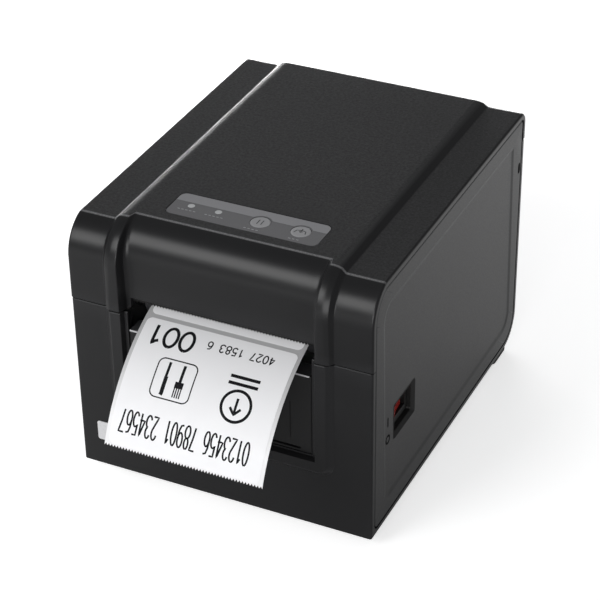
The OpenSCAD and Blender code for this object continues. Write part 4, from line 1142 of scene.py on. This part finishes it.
def label_print():
    """Generic contents: numbers, a knife and fork in a square, an arrow in a ring, two bars."""
    solid = Solid()
    add_digits(solid, "001", -8.6, 9.5, 9.6, 8.1, 1.5, 1.2)
    add_digits(solid, "4027 1583 6", 31.6, 11.2, 3.9, 3.1, 0.62)
    add_digits(solid, "0123456 78901 234567", 33.6, 51.4, 10.4, 3.28, 0.85, 0.42)
    square = rounded((-20.8, 24.2), (-1.2, 42.6), 3.0, 8)
    knife_x, fork_x, tine_pitch = -15.1, -7.6, 1.1
    ring_x, ring_v, ring_r = 21.9, 37.4, 7.1
    knife = [([(knife_x, 25.6), (knife_x, 32.5)], 1.3),
             ([(knife_x + 0.2, 32.4), (knife_x + 0.2, 40.2), (knife_x - 0.1, 41.2)], 1.9)]
    fork = [([(fork_x, 25.7), (fork_x, 34.5)], 1.4), ([(fork_x, 33.6), (fork_x, 36.6)], 4.2)]
    fork += [([(x, 36.4), (x, 41.0)], 0.6) for x in (fork_x + tine_pitch * (k - 1.5) for k in range(4))]
    arrow = [([(ring_x, ring_v - 3.6), (ring_x, ring_v + 3.2)], 1.2),
             ([(ring_x - 2.7, ring_v + 0.9), (ring_x, ring_v + 3.9), (ring_x + 2.7, ring_v + 0.9)], 1.2)]
    bars = [([(14.7, v), (29.3, v)], 1.5) for v in (24.2, 27.4)]
    outlines = [(square + square[:1], 0.6), (ellipse(ring_x, ring_v, ring_r, ring_r, 0, 360, 48), 1.35)]
    for points, width in outlines + knife + fork + arrow + bars:
        add_stroke(solid, points, width, on_label)
    piece("label_print", solid, "ink", "base", sharp=60)


# --- tear bar, feet and springs ---
def tear_bar():
    """Steel strip with pointed teeth along its lower edge."""
    lo, hi = TEAR_LO, TEAR_HI
    pitch, tooth = 1.5, 1.0
    halves = 2 * round((hi.x - lo.x) / pitch)
    grids = []
    for y in (lo.y, hi.y):
        tips, roots, back = [], [], []
        for k in range(halves + 1):
            x = lo.x + (hi.x - lo.x) * k / halves
            tips.append((x, y, lo.z + (0.0 if k % 2 else tooth)))
            roots.append((x, y, lo.z + tooth))
            back.append((x, y, hi.z))
        grids.append([tips, roots, back])
    piece("tear_bar_teeth", Solid().shell(*grids), "tear", "cover", "tear_bar")


def underside(y):
    """Height of the case's underside, which curves up at the heel."""
    past = max(0.0, y - (REAR - HEEL_R))
    return BASE_LO.z + HEEL_R - math.sqrt(HEEL_R ** 2 - past ** 2)


def feet():
    """Four rubber pads: the rear pair sits further out and follows the heel."""
    lo, hi = FEET_LO, FEET_HI
    size_x, size_y, corner_r, into_case = 14.0, 20.0, 4.0, 0.8
    front_x, rear_x = SCREW_HI.x - SCREW_HEAD_R - size_x / 2, hi.x - size_x
    front_y, rear_y = lo.y, hi.y - size_y
    solid = Solid()
    for x0, y0 in ((front_x, front_y), (-front_x - size_x, front_y), (rear_x, rear_y), (lo.x, rear_y)):
        rings = []
        for z, d in ((None, 0.0), (lo.z + 0.7, 0.0), (lo.z + 0.2, 0.2), (lo.z, 0.7)):
            shape = rounded((x0 + d, y0 + d), (x0 + size_x - d, y0 + size_y - d), corner_r - d, 8)
            rings.append([(x, y, underside(y) + into_case if z is None else z) for x, y in shape])
        solid.loft(rings)
    piece("feet", solid, "foot", "base", "rubber_feet")


def springs():
    """Coil springs over the print head."""
    lo, hi = box_mm("head_springs")
    wire, turns, around, per_turn = 0.4, 5, 10, 28
    coil_r = (hi.y - lo.y) / 2 - wire
    steps = turns * per_turn
    solid = Solid()
    for x in (lo.x + coil_r + wire, hi.x - coil_r - wire):
        rings = []
        for k in range(steps + 1):
            a = 2 * math.pi * turns * k / steps
            height = lo.z + wire + (hi.z - lo.z - 2 * wire) * k / steps
            section = arc((coil_r, height), wire, 0, 360, around)[:-1]
            rings.append([(x + r * math.cos(a), (lo.y + hi.y) / 2 + r * math.sin(a), z) for r, z in section])
        solid.loft(rings)
    obj = piece("springs", solid, "steel", "cover", "head_springs", sharp=60)
    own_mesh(obj)


# --- CAD nodes shown as they are ---
NODE_LOOKS = {
    "steel": "base_screws idler_axle motor_screws hinge_pins platen_shaft head_pivot_pin latch_pin",
    "zinc": "left_chassis_plate right_chassis_plate paper_guide stepper_motor usb_port serial_port",
    "guide": "left_media_guide right_media_guide head_mount latch_hooks",
    "connector": "gap_sensor platen_bushes power_jack",
    "acetal": "platen_gear idler_gear guide_pinion",
    "board": "control_board button_board",
    "well": "switch_housing",
    "platen": "platen_roller",
    "brass": "motor_pinion",
    "roll": "label_roll",
    "card": "roll_core",
    "ribbon": "head_cable",
    "aluminium": "head_bracket",
    "ceramic": "thermal_head",
}


def dress_nodes():
    """Materials and softened edges for the CAD nodes."""
    for look, nodes in NODE_LOOKS.items():
        for node in nodes.split():
            obj = frame["nodes"][node]
            obj.data.materials.clear()
            obj.data.materials.append(MATERIALS[look])
            bevel = obj.modifiers.new("edge", "BEVEL")
            bevel.width = 0.15 * MM
            bevel.segments = 2
            bevel.limit_method = "ANGLE"
            bevel.angle_limit = math.radians(40)
            bevel.use_clamp_overlap = True
            weigh_normals(obj)


# --- stage: floor, world, lights and camera ---
def floor():
    """Pale floor, which looks lighter to the camera than to the printer."""
    half, z = 6.0 / MM, FEET_LO.z
    quad = [(-half, -half, z), (half, -half, z), (half, half, z), (-half, half, z)]
    obj = make_object("floor", Solid().add(quad, [(0, 1, 2, 3)]))
    n = Nodes("floor_paper")
    pale = n.ramp(n.noise(3.0, 2.0), (0.9, 0.9, 0.9), (0.93, 0.93, 0.93), 0.3, 0.7)
    seen = n.node("ShaderNodeLightPath", "Is Camera Ray")
    x, y, _ = n.axes()
    unseen_glow = n.math("ADD", n.ramp(y, 0.0, 0.6, -0.15, 0.3), n.ramp(x, 0.5, 0.0, -0.25, 0.05))
    glow = n.blend(seen, unseen_glow, 0.6, "FLOAT")
    tone = n.blend(seen, (0.5, 0.5, 0.5), pale)
    n.finish(tone, 0.9, 0.1, Emission_Color=(1.0, 1.0, 1.0), Emission_Strength=glow)
    obj.data.materials.append(n.material)


def world():
    """White to the camera, a soft grey to everything else."""
    studio = bpy.data.worlds.new("studio")
    bpy.context.scene.world = studio
    studio.use_nodes = True
    tree = studio.node_tree
    tree.nodes.clear()
    kinds = ("OutputWorld", "LightPath", "MixShader")
    out, path, mixer = (tree.nodes.new("ShaderNode" + kind) for kind in kinds)
    tree.links.new(path.outputs["Is Camera Ray"], mixer.inputs[0])
    tree.links.new(mixer.outputs[0], out.inputs[0])
    for k, (colour, strength) in enumerate((((0.97, 0.98, 1.0, 1), 0.22), ((1, 1, 1, 1), 1.0))):
        light = tree.nodes.new("ShaderNodeBackground")
        light.inputs["Color"].default_value = colour
        light.inputs["Strength"].default_value = strength
        tree.links.new(light.outputs[0], mixer.inputs[k + 1])


def softbox(name, direction, distance, width, height, power):
    """Area light in a direction from the printer, facing it; lengths in metres."""
    data = bpy.data.lights.new(name, "AREA")
    data.shape = "RECTANGLE"
    data.size = width
    data.size_y = height
    data.energy = power
    obj = new_object(name, data)
    target = Vector((0, 0, 0.07))
    obj.location = target + Vector(direction).normalized() * distance
    obj.rotation_euler = (target - obj.location).to_track_quat("-Z", "Y").to_euler()


def camera():
    azimuth, elevation, roll = 25.80, 32.83, -0.84
    data = bpy.data.cameras.new("camera")
    data.lens = 123.5
    data.sensor_width = 36.0
    data.clip_start = 0.01
    obj = new_object("camera", data)
    obj.location = Vector((371.3, FRONT - 681.6, BOTTOM + 612.6)) * MM
    turns = [Matrix.Rotation(math.radians(angle), 3, axis)
             for angle, axis in ((azimuth, "Z"), (90 - elevation, "X"), (roll, "Z"))]
    obj.rotation_euler = (turns[0] @ turns[1] @ turns[2]).to_euler()
    bpy.context.scene.camera = obj


cover_shell()
base_shell()
side_panels()
switch_well()
switch_marks()
rocker()
front_insert()
exit_lip()
badge()
control_overlay()
overlay_band()
overlay_marks()
buttons()
lenses()
liner()
label_sheet("label", "printed_label", along_curl(4.6), along_curl(CURL_SWEEP - 1.2))
label_sheet("following_label", "next_label", -8.0, along_curl(3.0), square_start=True)
label_print()
tear_bar()
feet()
springs()
dress_nodes()
world()
floor()
camera()
softbox("key", (0.2, -1.0, 0.14), 1.8, 1.2, 1.2, 20.0)
softbox("over_front", (-0.37, -0.77, 0.53), 1.6, 0.7, 0.7, 9.0)
softbox("over_back", (-0.366, 0.6, 0.7), 1.5, 0.8, 0.14, 2.0)
softbox("horizon", (-0.45, 0.9, 0.02), 1.6, 0.8, 0.25, 8.0)
softbox("left_sheet", (-0.5, 0.55, -0.03), 0.75, 0.5, 0.24, 4.0)
bpy.context.scene.view_settings.view_transform = "Standard"
